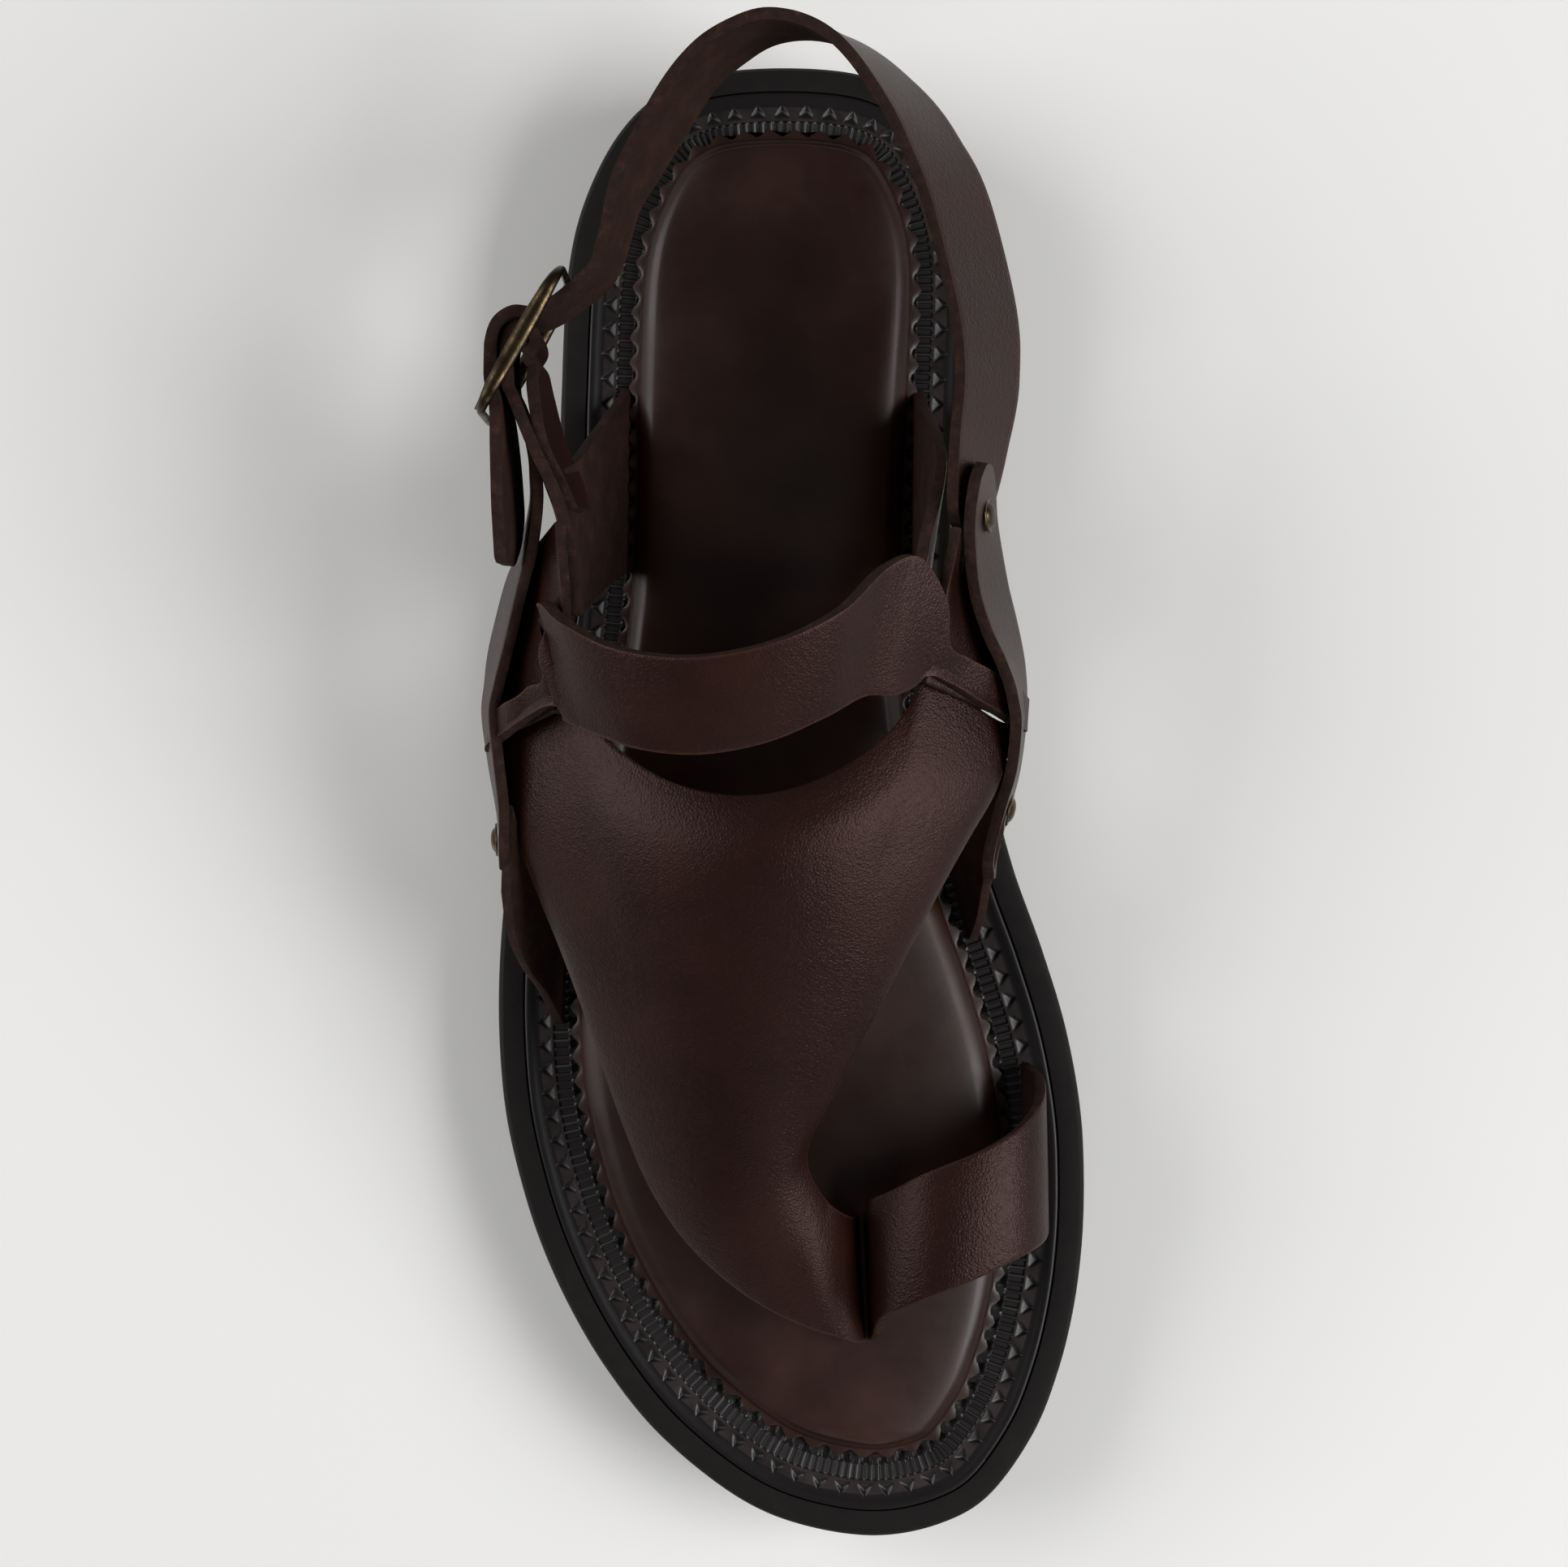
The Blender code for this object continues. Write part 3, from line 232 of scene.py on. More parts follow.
# Middle lines of the upright straps: across, along, rise, inward lean, share of the strap's width
LATERAL_SIDE_STRAP = [
    (-0.937, -0.087, 0.33, 0.05, 0.90), (-0.940, -0.047, 0.37, 0.08, 1.00),
    (-0.943, -0.005, 0.40, 0.12, 1.00), (-0.975, 0.055, 0.43, 0.15, 1.00), (-1.035, 0.115, 0.44, 0.17, 1.00),
    (-1.063, 0.156, 0.46, 0.20, 1.00), (-1.101, 0.214, 0.49, 0.25, 1.00), (-1.130, 0.272, 0.54, 0.24, 1.00),
    (-1.130, 0.323, 0.58, 0.18, 1.00), (-1.126, 0.379, 0.63, 0.12, 1.00), (-1.128, 0.425, 0.66, 0.08, 0.90),
    (-1.140, 0.458, 0.67, 0.05, 0.70),
]
BUCKLE_HOLDER = [
    (-0.905, 0.283, 0.64, 0.10, 0.56), (-0.962, 0.335, 0.66, 0.08, 0.84), (-1.020, 0.380, 0.68, 0.06, 0.95),
    (-1.068, 0.413, 0.68, 0.04, 1.00), (-1.134, 0.459, 0.68, 0.00, 1.00), (-1.195, 0.503, 0.68, 0.00, 1.00),
    (-1.228, 0.535, 0.68, 0.00, 0.98),
]
BUCKLE_LOOP_RETURN = [
    (-1.108, 0.548, 0.68, 0.03, 0.96), (-1.098, 0.518, 0.68, 0.10, 0.96), (-1.056, 0.460, 0.68, 0.15, 0.94),
    (-0.982, 0.411, 0.68, 0.17, 0.84), (-0.930, 0.372, 0.69, 0.17, 0.56),
]
MEDIAL_SIDE_STRAP = [
    (0.846, 0.430, 0.71, 0.22, 0.16), (0.844, 0.426, 0.71, 0.23, 0.42), (0.841, 0.415, 0.70, 0.24, 0.68),
    (0.836, 0.394, 0.69, 0.26, 0.90), (0.828, 0.366, 0.67, 0.30, 0.94), (0.818, 0.328, 0.65, 0.36, 0.92),
    (0.804, 0.279, 0.62, 0.39, 0.95), (0.802, 0.233, 0.58, 0.36, 1.00), (0.804, 0.186, 0.54, 0.27, 1.00),
    (0.790, 0.137, 0.49, 0.17, 1.00), (0.762, 0.091, 0.46, 0.12, 1.00), (0.728, 0.043, 0.42, 0.11, 1.00),
    (0.693, -0.006, 0.35, 0.12, 1.00), (0.666, -0.056, 0.28, 0.12, 0.95), (0.660, -0.100, 0.22, 0.10, 0.70),
]
HEEL_STRAP = [
    (0.762, 0.347, 0.62, 0.36, 0.46), (0.770, 0.360, 0.63, 0.37, 0.80), (0.791, 0.391, 0.64, 0.40, 1.00),
    (0.826, 0.462, 0.66, 0.50, 1.00), (0.859, 0.547, 0.69, 0.56, 1.00), (0.826, 0.640, 0.71, 0.60, 1.00),
    (0.739, 0.735, 0.75, 0.60, 1.00), (0.605, 0.824, 0.78, 0.54, 1.00), (0.416, 0.900, 0.81, 0.40, 1.00),
    (0.200, 0.952, 0.83, 0.22, 1.00), (-0.028, 0.967, 0.84, 0.04, 1.00), (-0.209, 0.952, 0.84, -0.10, 1.00),
    (-0.386, 0.915, 0.83, -0.18, 1.00), (-0.508, 0.868, 0.81, -0.22, 1.00),
    (-0.626, 0.812, 0.79, -0.20, 1.00), (-0.725, 0.757, 0.78, -0.14, 1.00),
    (-0.785, 0.698, 0.73, -0.10, 1.00), (-0.895, 0.652, 0.685, -0.03, 1.00),
]
HEEL_STRAP_END = [
    (-1.300, 0.545, 0.69, 0.00, 1.00), (-1.268, 0.500, 0.69, -0.04, 1.00), (-1.252, 0.445, 0.70, -0.09, 1.00),
    (-1.240, 0.386, 0.71, -0.12, 0.98), (-1.216, 0.345, 0.72, -0.12, 0.86),
    (-1.192, 0.312, 0.73, -0.10, 0.58), (-1.184, 0.303, 0.73, -0.10, 0.34),
]
BUCKLE_BAR_AT = (-1.167, 0.578, 0.68)
BUCKLE_FORWARD = (-0.493, -0.870)
# Bends round the buckle's bar, in degrees: start, end, step
HOLDER_ARC = (-20, 200, 44)
HEEL_ARC = (80, -25, 35)

# Rivet head from its rim to its middle: share of the radius, share of the height
RIVET_PROFILE = [
    (1.00, 0.12), (0.97, 0.26), (0.90, 0.34), (0.83, 0.34), (0.79, 0.28), (0.76, 0.34), (0.68, 0.56),
    (0.56, 0.76), (0.40, 0.90), (0.22, 0.98), (0.06, 1.00),
]

# Tooling of the board: pitches, bands and steps in from its edge, and depths, in metres; a rib's half width
# is a share of its pitch
TOOTH_PITCH = 0.0050
RIB_PITCH = 0.0018
OUTER_ROW = (0.0027, 0.0053)
RIB_BAND = (0.0059, 0.0090)
INNER_ROW = (0.0092, 0.0120)
MARGIN_STEPS = [0.0, 0.0, 0.0002, 0.0005, 0.0010, 0.0017, 0.0024]
RIB_STEPS = [0.0056, 0.0058, 0.0060, 0.0062, 0.0069, 0.0080, 0.0087, 0.0089, 0.0091]
BOARD_EDGE_DROP = 0.0003
BOARD_EDGE_REACH = 0.0006
TOOLED_DROP = 0.0004
RIB_SHARE = 0.15
RIB_FLOOR_DROP = 0.00038
RIB_HEIGHT = 0.00042
INNER_DENT_DEPTH = 0.0010

# How much the clouds in the dye show where a piece's colour follows a measure of its corners; on the board
# that measure is wear with a painted highlight and painted shade
WEAR_AND_LIGHT_RIPPLE = 0.45

# Soft lights: name, place, size in metres, watts. Then the camera's lens in millimetres and its place
SOFTBOXES = (
    ("right", (1.22, -0.20, 1.10), 1.0, 25.0),
    ("left", (-1.30, 0.25, 0.85), 1.2, 18.0),
    ("toe", (0.10, -1.45, 0.80), 1.0, 3.0),
)
ROOM_LIGHT = 0.15
CAMERA_LENS = 71.4
CAMERA_PLACE = (-0.0014, 0.00397, 0.650)


def smooth(t):
    t = min(1.0, max(0.0, t))
    return t * t * (3 - 2 * t)


def half_width(along):
    behind = smooth(along / 0.4)
    return 0.5 * (BALL_WIDTH * (1 - behind) + HEEL_WIDTH * behind)


def toe_lift(along):
    return TOE_SPRING * max(0.0, (-0.508 - along) / 0.492) ** 2


def deck(along):
    climb = smooth((along + 0.068) / 0.61)
    return BALL_DECK_HEIGHT + (HEEL_DECK_HEIGHT - BALL_DECK_HEIGHT) * climb + toe_lift(along)


def ground(along):
    arch = smooth((along - 0.08) / 0.14) * smooth((0.50 - along) / 0.03)
    back = smooth((along - 0.93) / 0.08)
    return ARCH_LIFT * arch + 1.3 * toe_lift(along) + 0.25 * ARCH_LIFT * back


def place(across, along, rise):
    return Vector((across * half_width(along), along * SOLE_LENGTH / 2, deck(along) + rise * INSTEP_HEIGHT))


def along_of(y):
    return y / (SOLE_LENGTH / 2)


def through(rows, steps, closed=False):
    """Rows of numbers carried through one smooth curve, with steps rows for each gap."""
    rows = [np.array(row, float) for row in rows]
    count = len(rows)
    if closed:
        rows = [rows[-1]] + rows + rows[:2]
    else:
        rows = [2 * rows[0] - rows[1]] + rows + [2 * rows[-1] - rows[-2]]
    gaps = count if closed else count - 1
    made = []
    for i in range(1, gaps + 1):
        a, b, c, d = rows[i - 1], rows[i], rows[i + 1], rows[i + 2]
        before, here, after = (max(np.linalg.norm(q - p), 1e-6) ** 0.5 for p, q in ((a, b), (b, c), (c, d)))
        leave = (b - a) / before - (c - a) / (before + here) + (c - b) / here
        reach = (c - b) / here - (d - b) / (here + after) + (d - c) / after
        for k in range(steps):
            t = k / steps
            made.append(
                (2 * t**3 - 3 * t**2 + 1) * b
                + (t**3 - 2 * t**2 + t) * here * leave
                + (3 * t**2 - 2 * t**3) * c
                + (t**3 - t**2) * here * reach
            )
    if not closed:
        made.append(rows[-2])
    return made


def evenly(points, count):
    """The same line cut into count equal lengths."""
    points = np.array(points)
    reach = np.concatenate([[0.0], np.cumsum(np.linalg.norm(np.diff(points, axis=0), axis=1))])
    wanted = np.linspace(0.0, reach[-1], count + 1)
    return np.stack([np.interp(wanted, reach, points[:, k]) for k in range(points.shape[1])], axis=1)


def sole_outline(steps):
    """The sole's edge from the toe along the lateral side to the heel and back, 2 x steps points."""
    corners = [place(row[1], row[0], 0).to_2d() for row in OUTLINE]
    corners += [place(row[2], row[0], 0).to_2d() for row in OUTLINE[-2:0:-1]]
    fine = through(corners, CURVE_STEPS, closed=True)
    heel = CURVE_STEPS * (len(OUTLINE) - 1)
    lateral = evenly(fine[: heel + 1], steps)
    medial = evenly(fine[heel:] + fine[:1], steps)
    return np.concatenate([lateral[:-1], medial[:-1]])


def inset(outline, depth):
    """The outline moved in by a depth, which may change from point to point."""
    ahead = np.roll(outline, -1, axis=0) - np.roll(outline, 1, axis=0)
    ahead /= np.linalg.norm(ahead, axis=1)[:, None]
    after = np.roll(outline, -1, axis=0)
    turn = np.sign(np.sum(outline[:, 0] * after[:, 1] - after[:, 0] * outline[:, 1]))
    inward = np.stack([-ahead[:, 1], ahead[:, 0]], axis=1) * turn
    return outline + inward * np.reshape(depth, (-1, 1))


def heights(function, ys):
    return np.array([function(along_of(y)) for y in ys])


def footbed_margin(outline):
    share = (along_of(outline[:, 1]) + 1) / 2
    return TOE_MARGIN + (HEEL_MARGIN - TOE_MARGIN) * share


def footbed_top(along, side):
    """Height of the footbed over the board: crowned, dished at the heel, higher under the inner arch."""
    bulge = (max(0.0, 1 - side * side)) ** 0.45
    ends = (max(0.0, 1 - along * along)) ** 0.35
    arch = ARCH_SUPPORT * math.exp(-(((along - 0.25) / 0.22) ** 2)) * smooth(side) * bulge
    dish = 0.35 * FOOTBED_CROWN * math.exp(-(((along - 0.68) / 0.16) ** 2)) * (1 - side * side)
    return FOOTBED_EDGE + FOOTBED_CROWN * bulge * ends + arch - dish


def scoop(share):
    """How far the vamp's top edge lies behind its chord: a horn at each ear, a deep round scoop between."""
    if share < SCOOP_START:
        return LATERAL_HORN * smooth(share / SCOOP_START)
    if share > SCOOP_END:
        return MEDIAL_HORN * smooth((1 - share) / (1 - SCOOP_END))
    inner = (share - SCOOP_START) / (SCOOP_END - SCOOP_START)
    chord = LATERAL_HORN + (MEDIAL_HORN - LATERAL_HORN) * inner
    return chord - SCOOP_DEPTH * math.sin(math.pi * inner) ** 0.6


def foot_of(point):
    return Vector((point[0], point[1], deck(along_of(point[1])) - BOARD_THICKNESS + CLEARANCE))


def foot_rows(top):
    """Rows of a strap from its last row above the board down to the board's seat."""
    shares = [k / FOOT_STEPS for k in range(1, FOOT_STEPS + 1)]
    return [[point.lerp(foot_of(point), share) for point in top] for share in shares]


def edge_grid(table, columns, steps, crown=None, bow=0.0, feet=(True, False)):
    """Points of a strap between its two edges; a foot goes straight down to the seat of the board."""
    edges = [[*place(*row[:3]), *place(*row[3:])] for row in table]
    if crown:
        edges = [edge + list(rise) for edge, rise in zip(edges, crown)]
    grid = []
    for row in through(edges, steps):
        start, end = Vector(row[:3]), Vector(row[3:6])
        rise, follow = (row[6] * INSTEP_HEIGHT, row[7]) if crown else (bow * (end - start).length, 0.0)
        points = []
        for column in range(columns + 1):
            share = column / columns
            point = start.lerp(end, share)
            point.z += rise * math.sin(math.pi * share) ** 0.8
            point.y += follow * scoop(share)
            points.append(point)
        grid.append(points)
    if feet[0]:
        grid = foot_rows(grid[0])[::-1] + grid
    if feet[1]:
        grid += foot_rows(grid[-1])
    return np.array([[tuple(point) for point in row] for row in grid])


def upright_grid(rows, width, inner_side, steps, columns):
    """Points of an upright strap along its middle line; inner_side is +1 where inside is left of the way."""
    rows = through(rows, steps)
    grid = []
    for k, row in enumerate(rows):
        before, after = rows[max(k - 1, 0)], rows[min(k + 1, len(rows) - 1)]
        way = Vector((after[0] - before[0], after[1] - before[1], 0)).normalized()
        inside = Vector((-way.y, way.x, 0)) * inner_side
        lean = row[3]
        up = inside * lean + Vector((0, 0, math.sqrt(1 - lean * lean)))
        centre = Vector(row[:3])
        half = 0.5 * width * row[4]
        grid.append([tuple(centre + up * half * (2 * c / columns - 1)) for c in range(columns + 1)])
    return np.array(grid)


def placed(rows):
    return [[*place(*row[:3]), *row[3:]] for row in rows]


def bar_place():
    return place(*BUCKLE_BAR_AT)


def buckle_ways():
    forward = Vector((*BUCKLE_FORWARD, 0)).normalized()
    return forward, Vector((forward.y, -forward.x, 0))


def arc_round_bar(radius, start, end, step, width_share):
    """Rows of an upright strap bent round the buckle's bar; 0 degrees is outside it and 90 behind it."""
    centre = bar_place()
    forward, out = buckle_ways()
    rows = []
    turns = int(round(abs(end - start) / step))
    for k in range(turns + 1):
        angle = math.radians(start + (end - start) * k / turns)
        point = centre + radius * (math.cos(angle) * out - math.sin(angle) * forward)
        rows.append([*point, 0.0, width_share])
    return rows


def loop_radius():
    return BUCKLE_WIRE_RADIUS + CLEARANCE + LEATHER / 2


def heel_strap_radius():
    return loop_radius() + LEATHER + 2 * CLEARANCE


def deselect():
    for thing in bpy.context.view_layer.objects:
        thing.select_set(False)


def take(piece):
    """Makes a piece the only one chosen and the active one."""
    deselect()
    piece.select_set(True)
    bpy.context.view_layer.objects.active = piece


def sheet_from_grid(name, grid):
    """A primitive grid with one cell for each step, its corners laid on the points of a strap."""
    rows, across = grid.shape[:2]
    deselect()
    bpy.ops.mesh.primitive_grid_add(x_subdivisions=across - 1, y_subdivisions=rows - 1, size=1.0)
    piece = bpy.context.active_object
    piece.name = name
    piece.data.name = name
    piece.data.vertices.foreach_set("co", grid.reshape(-1))
    piece.data.update()
    return piece


def surface_ways(grid):
    """Unit normals of a grid of points."""
    down = np.gradient(grid, axis=0)
    across = np.gradient(grid, axis=1)
    normal = np.cross(across, down)
    return normal / np.maximum(np.linalg.norm(normal, axis=2), 1e-12)[:, :, None]


def from_first_edge(grid):
    """Distance of each point of a strap from its first long edge, in metres."""
    steps = np.linalg.norm(np.diff(grid, axis=1), axis=2)
    return np.concatenate([np.zeros((len(grid), 1)), np.cumsum(steps, axis=1)], axis=1)


def edge_distance(grid):
    """Distance of each point of a strap from its nearer long edge, in metres."""
    reach = from_first_edge(grid)
    return np.minimum(reach, reach[:, -1:] - reach)


def spread(amounts, count):
    """Amounts given at even steps, carried to count rows."""
    return np.interp(np.linspace(0.0, 1.0, count), np.linspace(0.0, 1.0, len(amounts)), amounts)


def measure(piece, name, values):
    """A number for each corner of a piece, which its materials read."""
    attribute = piece.data.attributes.new(name, "FLOAT", "POINT")
    attribute.data.foreach_set("value", np.asarray(values, np.float32).reshape(-1))


def apply_modifier(piece, kind, name, **settings):
    take(piece)
    modifier = piece.modifiers.new(name, kind)
    for key, value in settings.items():
        setattr(modifier, key, value)
    bpy.ops.object.modifier_apply(modifier=modifier.name)


def recalculate(piece, merge=0.0):
    """Doubles merged and faces turned outwards."""
    take(piece)
    bpy.ops.object.mode_set(mode="EDIT")
    bpy.ops.mesh.select_all(action="SELECT")
    if merge:
        bpy.ops.mesh.remove_doubles(threshold=merge)
    bpy.ops.mesh.normals_make_consistent(inside=False)
    bpy.ops.object.mode_set(mode="OBJECT")


def finish_piece(piece, node_name, smooth_angle=40.0):
    take(piece)
    bpy.ops.object.shade_smooth_by_angle(angle=math.radians(smooth_angle))
    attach(piece, BODY)
    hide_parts(node_name)


def grain_outwards(grid):
    """The same points with their grain side turned away from the foot: up, or out over the sole's edge."""
    middle = np.array([0.0, 0.0, 0.045])
    out = (grid - middle) * np.array([1.0, 0.12, 0.8])
    if np.sum(surface_ways(grid) * out) < 0:
        return grid[:, ::-1]
    return grid


def curled(grid, height, reach, weights):
    """The first long edge of a strap turned up, so that its cut face shows; weights run along the strap."""
    bend = np.clip(1 - from_first_edge(grid) / reach, 0.0, 1.0) ** 1.5
    grid = grid.copy()
    grid[:, :, 2] += height * bend * spread(weights, len(grid))[:, None]
    return grid


def lifted(grid, amounts):
    """The same strap moved out along its own normals, by amounts given at even steps of its length."""
    grid = grain_outwards(grid)
    return grid + surface_ways(grid) * spread(amounts, len(grid))[:, None, None]


def leather_strap(name, grid, node_name, even=True):
    """A strap with its grain face, its flesh face and its cut edge, each with its own finish."""
    sizes = bpy.context.scene.sandal_sizes
    grid = grain_outwards(grid)
    piece = sheet_from_grid(name, grid)
    measure(piece, "edge", edge_distance(grid))
    for material in (cowhide_smooth_waxed_grain(), cowhide_rough_flesh_side(), cowhide_raw_cut_edge()):
        piece.data.materials.append(material)
    apply_modifier(
        piece, "SOLIDIFY", "wall", thickness=sizes.leather, offset=0.0, use_even_offset=even,
        material_offset=1, material_offset_rim=2,
    )
    apply_modifier(
        piece, "BEVEL", "worn edge", width=sizes.edge_round, segments=2, limit_method="ANGLE",
        angle_limit=math.radians(50), material=-1, harden_normals=False,
    )
    recalculate(piece)
    finish_piece(piece, node_name)


def linear(colour):
    """sRGB hex to linear numbers."""
    value = colour.lstrip("#")
    shares = [int(value[k: k + 2], 16) / 255 for k in (0, 2, 4)]
    return tuple(s / 12.92 if s <= 0.04045 else ((s + 0.055) / 1.055) ** 2.4 for s in shares)


def opaque(colour):
    return (*linear(colour), 1.0)


def feed(material, made, inputs):
    """Sets the inputs of a node: each is a plain value, or the output that it is linked to."""
    for key, value in inputs.items():
        if isinstance(value, bpy.types.NodeSocket):
            material.node_tree.links.new(value, made.inputs[key])
        else:
            made.inputs[key].default_value = value


def node(material, kind, inputs, **settings):
    """Adds a node with its settings and its inputs."""
    made = material.node_tree.nodes.new(kind)
    for key, value in settings.items():
        setattr(made, key, value)
    feed(material, made, inputs)
    return made


def shared(make):
    """A maker of a material that gives back the one of its own name where it has made it before."""
    def give():
        return bpy.data.materials.get(make.__name__) or make(make.__name__)
    return give


def tinted(name, cloud, stops, rough, wear_and_light=None):
    """A new material whose colour drifts through hex stops in clouds: cells in a metre, detail, roughness.

    Rough is one value, or the drift's low and high and the roughness at each. Where a measure of the
    piece's corners is named, the clouds only ripple it; on the board that measure holds wear with a painted
    highlight and painted shade. Gives the material, its coordinates and its clouds.
    """
    material = bpy.data.materials.new(name)
    material.use_nodes = True
    spot = node(material, "ShaderNodeTexCoord", {}).outputs["Object"]
    noise = dict(zip(("Scale", "Detail", "Roughness"), cloud))
    clouds = node(material, "ShaderNodeTexNoise", {"Vector": spot, **noise}).outputs["Fac"]
    drift = clouds
    if wear_and_light:
        measured = node(material, "ShaderNodeAttribute", {}, attribute_name=wear_and_light).outputs["Fac"]
        ripple = {0: clouds, 1: WEAR_AND_LIGHT_RIPPLE, 2: measured}
        drift = node(material, "ShaderNodeMath", ripple, operation="MULTIPLY_ADD").outputs["Value"]
    ramp = node(material, "ShaderNodeValToRGB", {"Fac": drift})
    elements = ramp.color_ramp.elements
    while len(elements) < len(stops):
        elements.new(0.5)
    for element, (position, colour) in zip(elements, stops):
        element.position = position
        element.color = opaque(colour)
    if isinstance(rough, tuple):
        limits = dict(zip(("From Min", "From Max", "To Min", "To Max"), rough))
        rough = node(
            material, "ShaderNodeMapRange", {"Value": drift, **limits}, interpolation_type="SMOOTHSTEP"
        ).outputs["Result"]
    shader = material.node_tree.nodes["Principled BSDF"]
    feed(material, shader, {"Base Color": ramp.outputs["Color"], "Roughness": rough})
    return material, spot, clouds


def finished(material, height, strength, distance, inputs):
    """Gives a material its bump, from a height, and the rest of its shader's inputs."""
    rise = {"Height": height, "Strength": strength, "Distance": distance}
    bump = node(material, "ShaderNodeBump", rise).outputs["Normal"]
    feed(material, material.node_tree.nodes["Principled BSDF"], {"Normal": bump, **inputs})
    return material


def edge_worn(material, spot):
    """The colour with the dye scuffed paler in a ragged line at the cut edge, and darker just inside it."""
    colour = material.node_tree.nodes["Principled BSDF"].inputs["Base Color"].links[0].from_socket
    distance = node(material, "ShaderNodeAttribute", {}, attribute_name="edge").outputs["Fac"]
    ragged = node(
        material, "ShaderNodeTexNoise", {"Vector": spot, "Scale": 700.0, "Detail": 4.0, "Roughness": 0.7}
    ).outputs["Fac"]
    shift = {0: ragged, 1: -0.0012, 2: distance}
    shifted = node(material, "ShaderNodeMath", shift, operation="MULTIPLY_ADD").outputs["Value"]
    bands = ((distance, 0.0006, 0.0022, 0.35, "#1d0f0b"), (shifted, -0.0006, 0.0001, 0.75, "#3a2019"))
    for source, low, high, share, tint in bands:
        limits = {"Value": source, "From Min": low, "From Max": high, "To Min": share, "To Max": 0.0}
        reach = node(material, "ShaderNodeMapRange", limits, interpolation_type="SMOOTHSTEP")
        mix = {0: reach.outputs["Result"], 6: colour, 7: opaque(tint)}
        colour = node(material, "ShaderNodeMix", mix, data_type="RGBA").outputs[2]
    return colour


@shared
def cowhide_smooth_waxed_grain(name):
    """Vegetable-tanned cowhide, dyed dark brown, smooth full grain with a wax finish.

    It gives a soft warm sheen on a near-black brown, with pores of 0.7 mm, fine grain of 1.1 mm and slow
    clouds of 26 mm in the dye. The pores are drawn as coarse as the picture needs to show them.
    """
    stops = [(0.30, "#180a07"), (0.52, "#1e0d09"), (0.74, "#27120c")]
    material, spot, _ = tinted(name, (38.0, 4.0, 0.55), stops, (0.3, 0.7, 0.36, 0.44))
    pores = node(
        material, "ShaderNodeTexVoronoi", {"Vector": spot, "Scale": 1500.0}, feature="DISTANCE_TO_EDGE"
    ).outputs["Distance"]
    fine = node(
        material, "ShaderNodeTexNoise", {"Vector": spot, "Scale": 900.0, "Detail": 3.0, "Roughness": 0.6}
    ).outputs["Fac"]
    rise = node(material, "ShaderNodeMath", {0: pores, 1: fine}, operation="ADD").outputs["Value"]
    return finished(material, rise, 0.42, 0.00026, {
        "Base Color": edge_worn(material, spot),
        "Specular IOR Level": 0.24,
        "Specular Tint": opaque("#f2cdc6"),
    })


@shared
def cowhide_rough_flesh_side(name):
    """The flesh side of the same hide, left rough: brown fibres 0.7 mm wide that catch no highlight."""
    stops = [(0.30, "#1e110e"), (0.52, "#291914"), (0.74, "#38221b")]
    material, spot, _ = tinted(name, (160.0, 6.0, 0.7), stops, 0.95)
    fibres = node(
        material, "ShaderNodeTexNoise", {"Vector": spot, "Scale": 1400.0, "Detail": 4.0, "Roughness": 0.75}
    ).outputs["Fac"]
    return finished(material, fibres, 0.8, 0.00035, {
        "Sheen Weight": 0.02,
        "Sheen Roughness": 0.6,
        "Sheen Tint": opaque("#b08870"),
        "Specular IOR Level": 0.12,
    })


@shared
def cowhide_raw_cut_edge(name):
    """The hide's cut edge, dyed but not burnished: ragged every 2.4 mm, matt and redder than the grain."""
    stops = [(0.30, "#190e0b"), (0.55, "#281712"), (0.78, "#40271f")]
    material, _, clouds = tinted(name, (420.0, 5.0, 0.7), stops, 0.9)
    return finished(material, clouds, 0.9, 0.0004, {"Specular IOR Level": 0.2})


@shared
def pressed_leather_board_polished(name):
    """Pressed leather board, dyed black, tooled hot, polished, with 8 mm clouds: glossy and paler on the
    raised tooling, partly from wear and partly as a painted highlight, and darker in its dents as painted
    shade.
    """
    stops = [(0.18, "#070505"), (0.60, "#0c0909"), (0.85, "#171212"), (1.00, "#332b2b")]
    material, _, clouds = tinted(name, (120.0, 5.0, 0.6), stops, (0.2, 0.9, 0.60, 0.30), "wear_and_painted_light")
    return finished(material, clouds, 0.25, 0.0002, {"Specular IOR Level": 0.30})


@shared
def calf_footbed_glazed(name):
    """Calf footbed leather, brown, glazed and polished by wear: clouds of 33 mm and a grain of 1.4 mm."""
    stops = [(0.30, "#1c0d09"), (0.55, "#26130e"), (0.75, "#351c14")]
    material, spot, _ = tinted(name, (30.0, 5.0, 0.6), stops, (0.35, 0.7, 0.30, 0.46))
    fine = node(
        material, "ShaderNodeTexNoise", {"Vector": spot, "Scale": 700.0, "Detail": 3.0, "Roughness": 0.6}
    ).outputs["Fac"]
    return finished(material, fine, 0.15, 0.0001, {"Specular IOR Level": 0.30})


@shared
def sole_rubber_moulded(name):
    """Black sole rubber, moulded: matt charcoal with a fine open skin, clouded every 4.5 mm."""
    stops = [(0.30, "#0c0908"), (0.55, "#110c0b"), (0.80, "#191312")]
    material, _, clouds = tinted(name, (220.0, 5.0, 0.6), stops, 0.62)
    return finished(material, clouds, 0.3, 0.0002, {"Specular IOR Level": 0.18})


